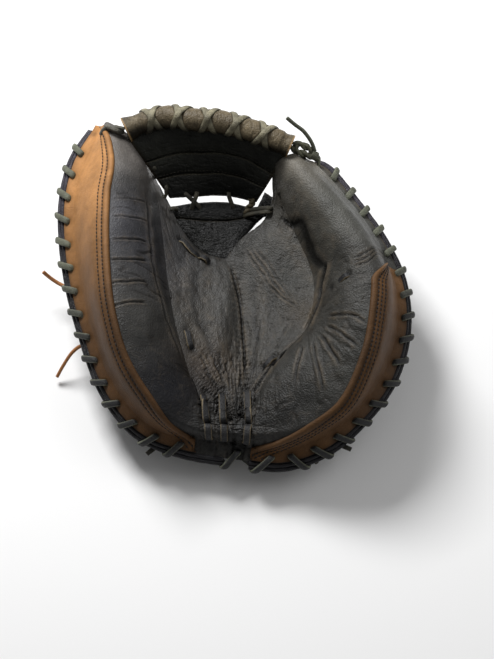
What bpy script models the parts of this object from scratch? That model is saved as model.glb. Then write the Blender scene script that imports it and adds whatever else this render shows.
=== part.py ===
"""Baseball catcher's mitt for the left hand, lying on its back with the pocket facing up.

+Z is up, +Y runs from the heel towards the web, and +X towards the fingers; the thumb is at -X.
The mitt is described by two halves, thumb and finger, that meet along the centre line of the pocket.
Each half is a loft through numbered stations along its rim. At every station four guide points give
the section: the laced edge, the crest of the padded rim, the valley where the pad ends, and the
inner end at the centre line or at the notch that the web fills.
All sizes below are in millimetres; objects are made in metres.
"""

import math

import bmesh
import bpy
import numpy as np

MM = 0.001
UP = np.array([0.0, 0.0, 1.0])

# Where the middle of the mitt's underside lies in the design coordinates below.
FRAME_ORIGIN = np.array([-1.857, -31.323, 0.4])

# Leather, gaps and laces
LEATHER = 2.0  # shell leather
TRIM = 1.8  # tan overlay along the rim
LINING = 1.2
GAP = 0.35  # between pieces that touch
LACE_WIDTH = 4.6
LACE_THICK = 1.8
FLANGE = 12.0  # width of the flat rim where palm and back are laced together
HOLE_IN = 5.5  # lace holes from the edge
HOLE_ALONG = 7.4
HOLE_ACROSS = 4.2
WELT_RADIUS = 2.2
WELT_OUT = 3.0  # centre of the piping outside the edge

# Offsets above the palm's base surface, which lies between the palm and back flanges
PALM_LOW, PALM_HIGH = 0.2, 0.2 + LEATHER
TRIM_LOW = PALM_HIGH + GAP
TRIM_HIGH = TRIM_LOW + TRIM
BACK_LOW, BACK_HIGH = -0.2 - LEATHER, -0.2
BACK_FLOOR = 2.6  # lowest level of the back's base surface

# The line down the middle of the pocket, from the crotch under the web to the heel
CENTRE_LINE = [(-8, 6, 38), (2, -17, 36), (6, -47, 34), (8, -79, 35.5), (7, -110, 37), (3, -133, 37.5)]

THUMB = {
    "edge": [(-108, 103, 78), (-128, 78, 72), (-135, 45, 64), (-134, 10, 56), (-128, -26, 49),
             (-118, -62, 43), (-101, -108, 36), (-75, -143, 31), (-40, -158, 26), (2, -165, 24)],
    "crest": [(-101, 93, 90), (-95, 60, 96), (-97, 30, 98), (-97, -3, 98), (-95, -38, 95),
              (-90, -74, 90), (-79, -108, 78), (-57, -137, 61), (-34, -146, 46), (1, -150, 41)],
    "valley": [(-87, 88, 82), (-71, 70, 68), (-64, 48, 59), (-60, 18, 55), (-56, -12, 52),
               (-51, -46, 50), (-43, -82, 48), (-33, -113, 46), (-23, -132, 42), (2, -142, 39)],
    "notch": [(-84, 90, 70), (-66, 73, 54), (-54, 52, 46), (-42, 30, 41), (-26, 13, 38), (-8, 6, 38)],
    "bottom": [(-92, 84, 50), (-101, 66, 28), (-103, 40, 10), (-100, 8, 2.6), (-95, -28, 2.6),
               (-88, -62, 4.4), (-77, -94, 10.6), (-61, -122, 10), (-44, -138, 15)],
    "back_inner": [(-84, 84, 58), (-68, 64, 34), (-54, 42, 14), (-38, 20, 2.6), (-20, 2, 2.6),
                   (-8.5, -24, 2.6), (-24, -58, 8), (-44, -90, 9.6), (-42, -126, 12)],
    "centre_stations": (5.0, 9.0),
    "last": 9,
}
FINGER = {
    "edge": [(2, -165, 24), (38, -169, 26), (72, -158, 33), (100, -133, 38), (120, -104, 43),
             (131, -66, 49), (129, -26, 56), (114, 10, 63), (92, 43, 69), (74, 66, 74), (60, 72, 78)],
    "crest": [(1, -150, 41), (31, -153, 47), (56, -151, 58), (80, -141, 72), (97, -108, 88),
              (104, -72, 98), (104, -42, 101), (91, -8, 102), (74, 22, 101), (56, 48, 97), (46, 62, 90)],
    "valley": [(2, -142, 39), (15, -130, 42), (25, -109, 46), (40, -86, 49), (56, -66, 50),
               (63, -42, 52), (62, -15, 52), (53, 10, 54), (44, 32, 57), (38, 51, 65), (38, 62, 80)],
    "notch": [(-8, 6, 38), (4, 21, 44), (22, 35, 50), (31, 50, 56), (36, 60, 68)],
    "bottom": [(36, -150, 17), (42, -148, 16), (62, -136, 12), (84, -113, 9.8), (98, -83, 7.5),
               (104, -52, 2.6), (101, -20, 2.6), (88, 8, 8), (72, 34, 20), (58, 54, 36), (50, 62, 50)],
    "back_inner": [(34, -142, 16), (39, -137, 14), (47, -115, 9.6), (43, -90, 9.6), (26, -60, 7.5),
                   (-1.5, -30, 2.6), (-2, -8, 2.6), (8, 12, 4), (22, 30, 12), (34, 48, 32), (40, 60, 52)],
    "centre_stations": (6.0, 0.0),
    "last": 10,
}

# The pocket closes about this line, which runs along Y: the thumb side turns and the finger side stays
FOLD_AXIS = (2.0, -65.0, 43.0)

# Web: a rolled bar across the top, an upper panel, and a lower panel that meets the palm
BAR = [(-87, 91, 96), (-73, 97, 99), (-53, 100, 102), (-33, 96, 104), (-12, 93, 105),
       (8, 87, 104), (25, 81, 102), (44, 74, 98)]
BAR_CORE_RADIUS = 5.0
BAR_SLEEVE_RADIUS = 8.2
BAR_SLEEVE_WALL = 2.2
BAR_TURNS = 6
PANEL_THICK = 3.0
UPPER_PANEL_BOTTOM = [(-51, 57, 50), (-30, 60, 48), (-8, 60, 48), (13, 54, 50)]
UPPER_PANEL_TOP = [(-77, 84, 84), (-52, 92, 88.5), (-30, 91.2, 90.7), (-10, 88.5, 91.8), (12, 83, 90.5),
                   (31, 71, 87)]
LOWER_PANEL_TOP = [(-47, 51, 43.5), (-28, 54, 42), (-8, 54, 42), (10, 50, 44)]
LOWER_PANEL_BOTTOM = [(-34, 25, 35.5), (-20, 15.5, 34.3), (-6, 13, 34.3), (5, 27.5, 38)]

PANELS = {"upper": (UPPER_PANEL_TOP, UPPER_PANEL_BOTTOM), "lower": (LOWER_PANEL_TOP, LOWER_PANEL_BOTTOM)}
HALVES = {"T": THUMB, "F": FINGER}

# Web laces: each lies flat from stop to stop, given as half, station and t, or as panel, u and v
WEB_LACE_RISE = 3.0
WEB_LACES = {
    "web_lace_middle": [("upper", 0.2, 0.88), ("lower", 0.2, 0.14), ("lower", 0.36, 0.14), ("upper", 0.34, 0.88),
                        ("upper", 0.5, 0.88), ("lower", 0.54, 0.14), ("lower", 0.74, 0.14), ("upper", 0.7, 0.88)],
    "web_lace_thumb": [("upper", 0.05, 0.45), ("T", 1.3, 0.7), ("T", 1.9, 0.7), ("upper", 0.07, 0.82)],
    "web_lace_finger": [("upper", 0.97, 0.5), ("F", 9.4, 0.9), ("F", 8.7, 0.93), ("upper", 0.93, 0.8),
                        ("lower", 0.88, 0.36), ("F", 8.1, 0.93)],
}

# Wrist strap on the back: it runs from the finger side through a ring on the thumb side and folds back
STRAP_Y = -107.0
STRAP_WIDTH = 34.0
STRAP_SEWN_X = 60.0
RING_Z = 3.5
RING_WIRE = 0.85  # half thickness
RING_BAR_X = -57.0
RING_KEEPER_X = -66.0
KEEPER_SEWN_X = -82.0
FOLD_IN, FOLD_OUT = 1.3, 3.1  # the strap's two faces round a ring bar
TAB_START_X = -55.6
TAB_END_X = -10.0
PEEL_AXIS = (-56.2, STRAP_Y, 0.4)  # the tab peels open about this line, which also runs along Y

# Lacing round the rim: first and last station of the whipped holes on each half
RIM_PITCH = 19.5
RIM_STITCHES_THUMB = (0.25, 7.95)
RIM_STITCHES_FINGER = (1.15, 9.6)
HEEL_STITCHES_THUMB = (8.5, 9.0)
HEEL_STITCHES_FINGER = (0.0, 0.75)

# Laces over the palm: the holes each one runs through, as half, station and t
STAPLE_TURN = 1.3
STAPLE_RISE = 5.4
LACE_ROW = 0.13  # t of the last holes, just inside the rim
PALM_LACES = {
    "palm_lace_notch": [("F", 5.25, 0.55), ("F", 5.75, 0.45)],
    "palm_lace_pocket": [("F", 2.25, 0.8), ("F", 2.75, 0.75)],
    "palm_lace_thumb": [("T", 5.75, 0.75), ("T", 6.25, 0.75)],
    "heel_lace_thumb": [("T", 7.5, 0.75), ("T", 8.35, 0.45), ("T", 8.45, LACE_ROW)],
    "heel_lace_centre": [("T", 7.9, 0.85), ("T", 8.7, 0.5), ("T", 8.75, LACE_ROW)],
    "heel_lace_finger": [("F", 1.2, 0.95), ("F", 0.4, 0.5), ("F", 0.2, LACE_ROW)],
    "web_base_lace": [("T", 3.25, 0.9), ("T", 4.15, 0.95), ("T", 4.65, 0.95)],
}

# The loop and knot at the index finger's tip: station, t and height over the palm's base surface
TIP_LOOP = [(9.7, 0.5, 7.0), (9.8, 0.3, 8.5), (9.45, 0.2, 8.0), (9.0, 0.27, 8.4), (9.1, 0.42, 8.4)]
TIP_KNOT = (9.7, 0.08)
KNOT_TURNS = 2.0
KNOT_PITCH = 3.0
KNOT_LACE = 1.2  # radius of the lace in the knot

# Tan lace through the thumb's back, and the loose ends
THUMB_LOOP_T = 0.3
THUMB_LOOP_S = (3.75, 5.0)
TAIL_RADIUS = 1.6
TAILS = {
    "tail_index": ([(63, 74, 92), (60, 78, 99), (54, 83, 106), (47, 86, 111), (40.5, 89, 116)], "grey_lace"),
    "tail_thumb_upper": ([(-128, -16, 33), (-134, -13, 27), (-141, -8, 24), (-148, -4, 26),
                          (-154, -1, 31)], "tan_lace"),
    "tail_thumb_lower": ([(-116, -65, 24), (-122, -66, 25), (-129, -70, 21), (-136, -77, 13),
                          (-141, -83, 6)], "tan_lace"),
}

# Finger stalls: outer radius and centre line
STALLS = {
    "stall_thumb": (13.0, [(-50, -52, 22), (-66, -30, 25), (-84, 4, 32), (-95, 38, 40), (-97, 60, 50)]),
    "stall_index": (11.0, [(12, -28, 17), (26, 0, 20), (42, 26, 33), (49, 38, 42)]),
    "stall_middle": (11.0, [(32, -44, 17), (48, -14, 21), (64, 12, 33), (70, 22, 41)]),
    "stall_ring": (11.0, [(52, -60, 19), (68, -32, 21), (84, -6, 32), (90, 2, 40)]),
    "stall_little": (10.0, [(70, -78, 20), (86, -54, 22), (98, -34, 32), (102, -25, 38)]),
}


# ---------------------------------------------------------------- geometry helpers
def unit(v):
    """The vector scaled to length one."""
    return v / max(float(np.linalg.norm(v)), 1e-9)


def flattened(v, n):
    """Unit vector along v in the plane across n."""
    return unit(v - np.dot(v, n) * n)


def curve_at(points, s):
    """Point at station s on the smooth Catmull-Rom curve through the stations' points."""
    p = np.asarray(points, float)
    last = len(p) - 1
    i = min(max(int(math.floor(s)), 0), last - 1)
    f = s - i
    p1, p2 = p[i], p[i + 1]
    p0 = p[i - 1] if i > 0 else 2 * p1 - p2
    p3 = p[i + 2] if i + 2 <= last else 2 * p2 - p1
    return 0.5 * (2 * p1 + (p2 - p0) * f + (2 * p0 - 5 * p1 + 4 * p2 - p3) * f**2
                  + (3 * p1 - p0 - 3 * p2 + p3) * f**3)


def curve_points(points, count):
    """Count points spread evenly in station along the curve."""
    last = len(points) - 1
    return np.array([curve_at(points, last * k / (count - 1)) for k in range(count)])


def even_points(points, count):
    """Count points spread evenly in length along the curve."""
    dense = curve_points(points, 200)
    length = np.concatenate([[0], np.cumsum(np.linalg.norm(np.diff(dense, axis=0), axis=1))])
    wanted = np.linspace(0, length[-1], count)
    return np.stack([np.interp(wanted, length, dense[:, k]) for k in range(3)], axis=1)


def hermite(p0, m0, p1, m1, f):
    """Cubic from p0 to p1 with the end tangents m0 and m1."""
    return ((2 * f**3 - 3 * f**2 + 1) * p0 + (f**3 - 2 * f**2 + f) * m0
            + (3 * f**2 - 2 * f**3) * p1 + (f**3 - f**2) * m1)


def inner_end(half, s):
    """Where the palm's section ends at station s: on the notch's edge, or on the centre line."""
    crotch, heel = half["centre_stations"]
    q = (s - crotch) / (heel - crotch)
    if q >= 0:
        return curve_at(CENTRE_LINE, q * (len(CENTRE_LINE) - 1))
    first = 0.0 if crotch < heel else crotch
    return curve_at(half["notch"], s - first)


def inward(half, s):
    """Level unit vector from the laced edge towards the pocket."""
    v = curve_at(half["valley"], s) - curve_at(half["edge"], s)
    v[2] = 0.0
    return unit(v)


def flange_direction(half, s):
    """From the laced edge along the flange, leaning up the rim's outer wall."""
    wall = curve_at(half["crest"], s) - curve_at(half["edge"], s)
    return unit(unit(wall) + 0.5 * inward(half, s))


# Values of t across the palm: 0 is the laced edge, T_FLANGE the flange's root, and so on inwards.
T_FLANGE, T_CREST, T_VALLEY = 0.1, 0.35, 0.7


def palm_base(half, s, t):
    """Point of the palm's base surface at station s, from the edge (t = 0) to the inner end (t = 1)."""
    edge = curve_at(half["edge"], s)
    root = edge + FLANGE * flange_direction(half, s)
    if t <= T_FLANGE:
        return edge + (root - edge) * t / T_FLANGE
    crest, valley, inner = curve_at(half["crest"], s), curve_at(half["valley"], s), inner_end(half, s)
    level = inward(half, s)
    if t <= T_CREST:
        f = (t - T_FLANGE) / (T_CREST - T_FLANGE)
        size = np.linalg.norm(crest - root)
        return hermite(root, size * unit(flange_direction(half, s) + 0.6 * UP), crest, size * level, f)
    if t <= T_VALLEY:
        f = (t - T_CREST) / (T_VALLEY - T_CREST)
        size = np.linalg.norm(valley - crest)
        return hermite(crest, size * level, valley, size * unit(0.35 * level - UP), f)
    f = (t - T_VALLEY) / (1 - T_VALLEY)
    return hermite(valley, (inner - valley) * 0.9, inner, inner - valley, f)


def surface_normal(surface, s, t, last):
    """Unit normal of surface(s, t) by finite differences, kept on the upper side of the palm."""
    step = 0.01
    s0, s1 = max(s - step, 0.0), min(s + step, last)
    t0, t1 = max(t - step, 0.0), min(t + step, 1.0)
    across = surface(s1, t) - surface(s0, t)
    along = surface(s, t1) - surface(s, t0)
    return unit(np.cross(across, along))


def palm_offset(half, s, t, d):
    """Point d above the palm's base surface. Towards the centre line the offset turns to straight up."""
    n = surface_normal(lambda a, b: palm_base(half, a, b), s, t, half["last"])
    crotch, heel = half["centre_stations"]
    level = min(max(3 * (s - crotch) / (heel - crotch), 0), 1) * min(max((t - 0.75) / 0.25, 0), 1)
    return palm_base(half, s, t) + d * unit((1 - level) * n + level * UP)


def back_base(half, s, t):
    """Point of the back's base surface: t = 0 is the edge, 0.15 the flange's root, 0.7 the bottom."""
    edge = curve_at(half["edge"], s)
    root = edge + FLANGE * flange_direction(half, s)
    if t <= 0.15:
        return edge + (root - edge) * t / 0.15
    bottom, inner = curve_at(half["bottom"], s), curve_at(half["back_inner"], s)
    bottom[2], inner[2] = max(bottom[2], BACK_FLOOR), max(inner[2], BACK_FLOOR)
    if t <= 0.7:
        f = (t - 0.15) / 0.55
        size = np.linalg.norm(bottom - root)
        start = unit(0.25 * flange_direction(half, s) - UP)
        return hermite(root, size * start, bottom, size * unit(inner - bottom), f)
    f = (t - 0.7) / 0.3
    return bottom + (inner - bottom) * f


def back_offset(half, s, t, d):
    """Point d inside the back's base surface; a negative d is outside. The resting patches are flat."""
    n = surface_normal(lambda a, b: back_base(half, a, b), s, t, half["last"])
    p = back_base(half, s, t) + d * n
    p[2] = max(p[2], BACK_FLOOR + d)
    return p


# ---------------------------------------------------------------- object helpers
def material(name, colour, roughness, metallic=0.0):
    """Principled material; colour is linear RGB."""
    m = bpy.data.materials.get(name)
    if m is None:
        m = bpy.data.materials.new(name)
        m.use_nodes = True
        shader = m.node_tree.nodes["Principled BSDF"]
        shader.inputs["Base Color"].default_value = (*colour, 1.0)
        shader.inputs["Roughness"].default_value = roughness
        shader.inputs["Metallic"].default_value = metallic
    return m


def palette():
    """The mitt's materials by name."""
    return {
        "black_leather": material("black_leather", (0.022, 0.022, 0.026), 0.5),
        "tan_leather": material("tan_leather", (0.20, 0.095, 0.04), 0.55),
        "grey_lace": material("grey_lace", (0.06, 0.06, 0.045), 0.65),
        "tan_lace": material("tan_lace", (0.25, 0.12, 0.05), 0.6),
        "felt": material("felt", (0.45, 0.42, 0.36), 0.95),
        "lining": material("lining", (0.16, 0.10, 0.06), 0.7),
        "fleece": material("fleece", (0.05, 0.05, 0.05), 1.0),
        "nickel": material("nickel", (0.6, 0.6, 0.58), 0.3, 1.0),
    }


def enclosed_volume(points, faces):
    """Signed volume inside the triangles: positive when they all face outwards."""
    p = points - points.mean(axis=0)
    corner = [p[[f[k] for f in faces]] for k in range(3)]
    return float(np.sum(corner[0] * np.cross(corner[1], corner[2]))) / 6


def make_object(name, points, faces, look):
    """Mesh object from triangles between millimetre points in design coordinates."""
    placed = (np.asarray(points, float) - FRAME_ORIGIN) * MM
    mesh = bpy.data.meshes.new(name)
    mesh.from_pydata([tuple(p) for p in placed], [], [tuple(int(i) for i in f) for f in faces])
    work = bmesh.new()
    work.from_mesh(mesh)
    bmesh.ops.recalc_face_normals(work, faces=work.faces)
    if enclosed_volume(placed, [[v.index for v in f.verts] for f in work.faces]) < 0:
        bmesh.ops.reverse_faces(work, faces=work.faces)
    work.to_mesh(mesh)
    work.free()
    mesh.shade_smooth()
    mesh.set_sharp_from_angle(angle=math.radians(40))
    mesh.materials.append(look)
    obj = bpy.data.objects.new(name, mesh)
    bpy.context.scene.collection.objects.link(obj)
    return obj


def slab(name, top, bottom, look):
    """Closed sheet between two grids of points with the same rows and columns."""
    top, bottom = np.asarray(top, float), np.asarray(bottom, float)
    rows, cols = top.shape[:2]
    points = np.concatenate([top.reshape(-1, 3), bottom.reshape(-1, 3)])
    under = rows * cols
    faces = []
    for r in range(rows - 1):
        for c in range(cols - 1):
            a, b = r * cols + c, r * cols + c + 1
            d, e = a + cols, b + cols
            faces += [(a, b, e), (a, e, d), (under + a, under + e, under + b), (under + a, under + d, under + e)]
    border = ([(0, c) for c in range(cols)] + [(r, cols - 1) for r in range(1, rows)]
              + [(rows - 1, c) for c in range(cols - 2, -1, -1)] + [(r, 0) for r in range(rows - 2, 0, -1)])
    ring = [r * cols + c for r, c in border]
    for a, b in zip(ring, ring[1:] + ring[:1]):
        faces += [(a, under + a, under + b), (a, under + b, b)]
    return make_object(name, points, faces, look)


def loft(name, sections, look):
    """Closed solid through rings of points, capped flat at both ends."""
    rings = np.asarray(sections, float)
    count, side = rings.shape[:2]
    faces = []
    for k in range(count - 1):
        for j in range(side):
            a, b = k * side + j, k * side + (j + 1) % side
            faces += [(a, b, b + side), (a, b + side, a + side)]
    for first in (0, (count - 1) * side):
        faces += [(first, first + j, first + j + 1) for j in range(1, side - 1)]
    return make_object(name, rings.reshape(-1, 3), faces, look)


def path_tangents(path):
    """Unit tangents along a list of points."""
    path = np.asarray(path, float)
    step = np.empty_like(path)
    step[1:-1] = path[2:] - path[:-2]
    step[0], step[-1] = path[1] - path[0], path[-1] - path[-2]
    return step / np.maximum(np.linalg.norm(step, axis=1), 1e-9)[:, None]


def lace(name, path, normals, look, width=LACE_WIDTH, thick=LACE_THICK):
    """Flat lace along the path; each normal says which way its flat side faces."""
    path = np.asarray(path, float)
    sections = []
    for p, t, n in zip(path, path_tangents(path), np.asarray(normals, float)):
        across = unit(np.cross(t, n))
        face = unit(np.cross(across, t))
        sections.append([p + 0.5 * width * a * across + 0.5 * thick * b * face
                         for a, b in ((-1, -1), (1, -1), (1, 1), (-1, 1))])
    return loft(name, sections, look)


def tube(name, path, radius, look, sides=8):
    """Round solid along the path."""
    path = np.asarray(path, float)
    tangents = path_tangents(path)
    across = unit(np.cross(tangents[0], UP if abs(tangents[0][2]) < 0.9 else np.array([1.0, 0, 0])))
    sections = []
    for p, t in zip(path, tangents):
        across = unit(across - np.dot(across, t) * t)
        other = np.cross(t, across)
        sections.append([p + radius * (math.cos(a) * across + math.sin(a) * other)
                         for a in 2 * math.pi * np.arange(sides) / sides])
    return loft(name, sections, look)


def sleeve(name, path, outer, wall, look, sides=10):
    """Tube with a hole through it, open at both ends."""
    path = np.asarray(path, float)
    tangents = path_tangents(path)
    across = unit(np.cross(tangents[0], UP))
    grids = {outer: [], outer - wall: []}
    for p, t in zip(path, tangents):
        across = unit(across - np.dot(across, t) * t)
        other = np.cross(t, across)
        for radius, grid in grids.items():
            grid.append([p + radius * (math.cos(a) * across + math.sin(a) * other)
                         for a in 2 * math.pi * np.arange(sides) / sides])
    points = np.concatenate([np.array(grids[outer]).reshape(-1, 3),
                             np.array(grids[outer - wall]).reshape(-1, 3)])
    under, last, faces = len(path) * sides, (len(path) - 1) * sides, []
    for k in range(len(path) - 1):
        for j in range(sides):
            a, b = k * sides + j, k * sides + (j + 1) % sides
            faces += [(a, b, b + sides), (a, b + sides, a + sides),
                      (under + a, under + b + sides, under + b),
                      (under + a, under + a + sides, under + b + sides)]
    for j in range(sides):
        a, b = j, (j + 1) % sides
        faces += [(a, under + a, under + b), (a, under + b, b)]
        a, b = a + last, b + last
        faces += [(a, under + b, under + a), (a, b, under + b)]
    return make_object(name, points, faces, look)


def cutter(name, boxes):
    """Hidden mesh of separate boxes, each a centre, three half-axes as vectors."""
    points, faces = [], []
    corners = [(-1, -1, -1), (1, -1, -1), (1, 1, -1), (-1, 1, -1),
               (-1, -1, 1), (1, -1, 1), (1, 1, 1), (-1, 1, 1)]
    sides = [(0, 3, 2, 1), (4, 5, 6, 7), (0, 1, 5, 4), (1, 2, 6, 5), (2, 3, 7, 6), (3, 0, 4, 7)]
    for centre, x, y, z in boxes:
        first = len(points)
        flip = np.dot(np.cross(x, y), z) < 0
        points += [centre + a * x + b * y + c * z for a, b, c in corners]
        faces += [tuple(first + k for k in (side[::-1] if flip else side)) for side in sides]
    placed = (np.asarray(points) - FRAME_ORIGIN) * MM
    mesh = bpy.data.meshes.new(name)
    mesh.from_pydata([tuple(p) for p in placed], [], faces)
    obj = bpy.data.objects.new(name, mesh)
    bpy.context.scene.collection.objects.link(obj)
    obj.hide_render = True
    obj.display_type = "WIRE"
    return obj


def cut(obj, holes):
    """Cuts the holes out of the object."""
    modifier = obj.modifiers.new("lace_holes", "BOOLEAN")
    modifier.operation = "DIFFERENCE"
    modifier.solver = "EXACT"
    modifier.object = holes


# ---------------------------------------------------------------- lacing round the rim
def rim_frame(half, s):
    """Edge point, tangent along the edge, outward and normal directions of the flange at station s."""
    point = curve_at(half["edge"], s)
    step = 0.02
    ahead = curve_at(half["edge"], min(s + step, half["last"]))
    behind = curve_at(half["edge"], max(s - step, 0))
    along = unit(ahead - behind)
    if s == half["centre_stations"][1]:
        along = np.array([1.0, 0.0, 0.0])
    out = -flange_direction(half, s)
    out = unit(out - np.dot(out, along) * along)
    normal = np.cross(out, along)
    return point, along, out, normal if normal[2] > 0 else -normal


def stitch_stations(half, first, last, pitch):
    """Stations spaced pitch apart along the laced edge."""
    dense = np.linspace(first, last, 300)
    points = np.array([curve_at(half["edge"], s) for s in dense])
    length = np.concatenate([[0], np.cumsum(np.linalg.norm(np.diff(points, axis=0), axis=1))])
    count = int(round(length[-1] / pitch))
    return np.interp(np.linspace(0, length[-1], count + 1), length, dense)


# One whip stitch: share of the way to the next hole, outward, height, and the lace's facing (out, up).
# The height is above the flange's middle; "top" lies on the palm side and "low" on the back.
STITCH = [
    (0.00, -HOLE_IN, 0.0, (-1, 0)),
    (0.02, -HOLE_IN + 0.1, "top_in", (-1, 1)),
    (0.05, -3.4, "top", (0, 1)),
    (0.10, 2.2, "top", (0.2, 1)),
    (0.15, 6.0, 3.2, (1, 1)),
    (0.20, 7.0, 0.0, (1, 0)),
    (0.25, 6.0, -3.4, (1, -1)),
    (0.42, 2.4, "low", (0, -1)),
    (0.90, -2.6, "low", (0, -1)),
    (0.98, -4.9, "low", (-0.5, -1)),
]


def whip_path(half, stations, top):
    """Path and facings of a lace whipped over the edge through the holes at these stations."""
    heights = {"top": top, "top_in": top - 1.0, "low": BACK_LOW - 1.5}
    path, normals = [], []
    for here, there in zip(stations[:-1], stations[1:]):
        for share, out_by, height, (face_out, face_up) in STITCH:
            point, _, out, normal = rim_frame(half, here + share * (there - here))
            lift = heights.get(height, height)
            path.append(point + out_by * out + lift * normal)
            normals.append(unit(face_out * out + face_up * normal))
    point, _, out, normal = rim_frame(half, stations[-1])
    path.append(point - HOLE_IN * out)
    normals.append(-out)
    return path, normals


def stitch_holes(half, stations):
    """Boxes for the holes that a whipped lace passes through."""
    boxes = []
    for s in stations:
        point, along, out, normal = rim_frame(half, s)
        boxes.append((point - HOLE_IN * out, 0.5 * HOLE_ALONG * along, 0.5 * HOLE_ACROSS * out, 7.0 * normal))
    return boxes


def welt(name, half, first, last, count, look):
    """Piping cord just outside the laced edge."""
    path = []
    for s in np.linspace(first, last, count):
        point, _, out, _ = rim_frame(half, s)
        path.append(point + WELT_OUT * out)
    return tube(name, path, WELT_RADIUS, look, sides=5)


# ---------------------------------------------------------------- the mitt's pieces
BACK_T = [0.0, 0.15, 0.24, 0.36, 0.5, 0.6, 0.7, 0.85, 1.0]
PALM_T = [0.0, 0.1, 0.17, 0.26, 0.35, 0.44, 0.53, 0.62, 0.7, 0.8, 0.9, 1.0]
THUMB_NOTCH_S = np.linspace(0.0, 5.0, 9)
THUMB_CENTRE_S = np.linspace(5.0, 9.0, 12)
FINGER_CENTRE_S = np.linspace(0.0, 6.0, 12)
FINGER_NOTCH_S = np.linspace(6.0, 10.0, 8)
THUMB_S = np.concatenate([THUMB_NOTCH_S, THUMB_CENTRE_S[1:]])
FINGER_S = np.concatenate([FINGER_CENTRE_S, FINGER_NOTCH_S[1:]])


def palm_leather(looks, holes):
    """The one-piece palm: a horseshoe sheet whose two halves meet on the centre line."""
    grids, starts, points = [], [], []
    for half, stations in ((THUMB, THUMB_S), (FINGER, FINGER_S)):
        for d in (PALM_HIGH, PALM_LOW):
            starts.append(len(points))
            grids.append((len(stations), len(PALM_T)))
            points += [palm_offset(half, s, t, d) for s in stations for t in PALM_T]
    points = np.array(points)
    cols, faces = len(PALM_T), []
    for k, ((rows, _), first) in enumerate(zip(grids, starts)):
        for r in range(rows - 1):
            for c in range(cols - 1):
                a = first + r * cols + c
                b, d, e = a + 1, a + cols, a + cols + 1
                pair = [(a, b, e), (a, e, d)]
                faces += pair if k % 2 == 0 else [f[::-1] for f in pair]
    thumb_top, thumb_low, finger_top, finger_low = starts
    n_thumb, n_finger = len(THUMB_S), len(FINGER_S)

    def wall(first, second):
        return [f for (a, b), (c, d) in zip(zip(first, first[1:]), zip(second, second[1:]))
                for f in ((a, c, d), (a, d, b))]

    for top, low, rows in ((thumb_top, thumb_low, n_thumb), (finger_top, finger_low, n_finger)):
        edge = [r * cols for r in range(rows)]
        faces += wall([top + i for i in edge], [low + i for i in edge])
    # Tip ends
    for top, low, row in ((thumb_top, thumb_low, 0), (finger_top, finger_low, n_finger - 1)):
        line = [row * cols + c for c in range(cols)]
        faces += wall([low + i for i in line], [top + i for i in line])
    # Notch edges, up to the crotch
    notch = [r * cols + cols - 1 for r in range(len(THUMB_NOTCH_S))]
    faces += wall([thumb_low + i for i in notch], [thumb_top + i for i in notch])
    notch = [r * cols + cols - 1 for r in range(len(FINGER_CENTRE_S) - 1, n_finger)]
    faces += wall([finger_low + i for i in notch], [finger_top + i for i in notch])
    # The halves share the centre line and the heel's section: give both the same points.
    pairs = []
    for r in range(len(THUMB_CENTRE_S)):
        a = (len(THUMB_NOTCH_S) - 1 + r) * cols + cols - 1
        b = (len(FINGER_CENTRE_S) - 1 - r) * cols + cols - 1
        pairs.append((a, b))
    pairs += [((n_thumb - 1) * cols + c, c) for c in range(cols - 1)]
    for a, b in pairs:
        for side in (0, 1):
            i, j = starts[side] + a, starts[2 + side] + b
            points[i] = points[j] = 0.5 * (points[i] + points[j])
    weld = {starts[2 + side] + b: starts[side] + a for a, b in pairs for side in (0, 1)}
    faces = [tuple(weld.get(i, i) for i in f) for f in faces]
    used = sorted({i for f in faces for i in f})
    renumber = {old: new for new, old in enumerate(used)}
    obj = make_object("palm_leather", points[used], [tuple(renumber[i] for i in f) for f in faces],
                      looks["black_leather"])
    cut(obj, holes)
    return obj


def band(name, half, stations, ts, low, high, look, surface=palm_offset):
    """Sheet that follows part of a half's surface, between two offsets."""
    top = [[surface(half, s, t, high) for t in ts] for s in stations]
    bottom = [[surface(half, s, t, low) for t in ts] for s in stations]
    return slab(name, top, bottom, look)


def pad(name, half, stations, first_t, last_t, lower_by, look):
    """Felt filling under the rim's crest: the palm's shape above, a flatter chord below."""
    ts = [t for t in PALM_T if first_t <= t <= last_t]
    top = [[palm_offset(half, s, t, -GAP) for t in ts] for s in stations]
    bottom = []
    for row in top:
        a, b = row[0], row[-1]
        line = []
        for k, p in enumerate(row):
            f = k / (len(row) - 1)
            chord = a + (b - a) * f - UP * (3.0 + lower_by * math.sin(math.pi * f))
            line.append(np.array([p[0] * 0.5 + chord[0] * 0.5, p[1] * 0.5 + chord[1] * 0.5, chord[2]]))
        bottom.append(line)
    return slab(name, top, bottom, look)


def gusset(name, half, stations, look):
    """Inner side wall of a finger stall, from the palm's notch edge down to the back."""
    rows_out, rows_in = [], []
    for s in stations:
        start, end = palm_offset(half, s, 1.0, -0.6), back_offset(half, s, 1.0, 0.6)
        step = 0.05
        ahead = inner_end(half, min(s + step, half["last"])) - inner_end(half, max(s - step, 0))
        side = unit(np.cross(end - start, ahead))
        outer, inner = [], []
        for f in (0.0, 0.33, 0.67, 1.0):
            p = start + (end - start) * f
            outer.append(p)
            inner.append(p + LEATHER * side)
        rows_out.append(outer)
        rows_in.append(inner)
    return slab(name, rows_out, rows_in, look)


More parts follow.
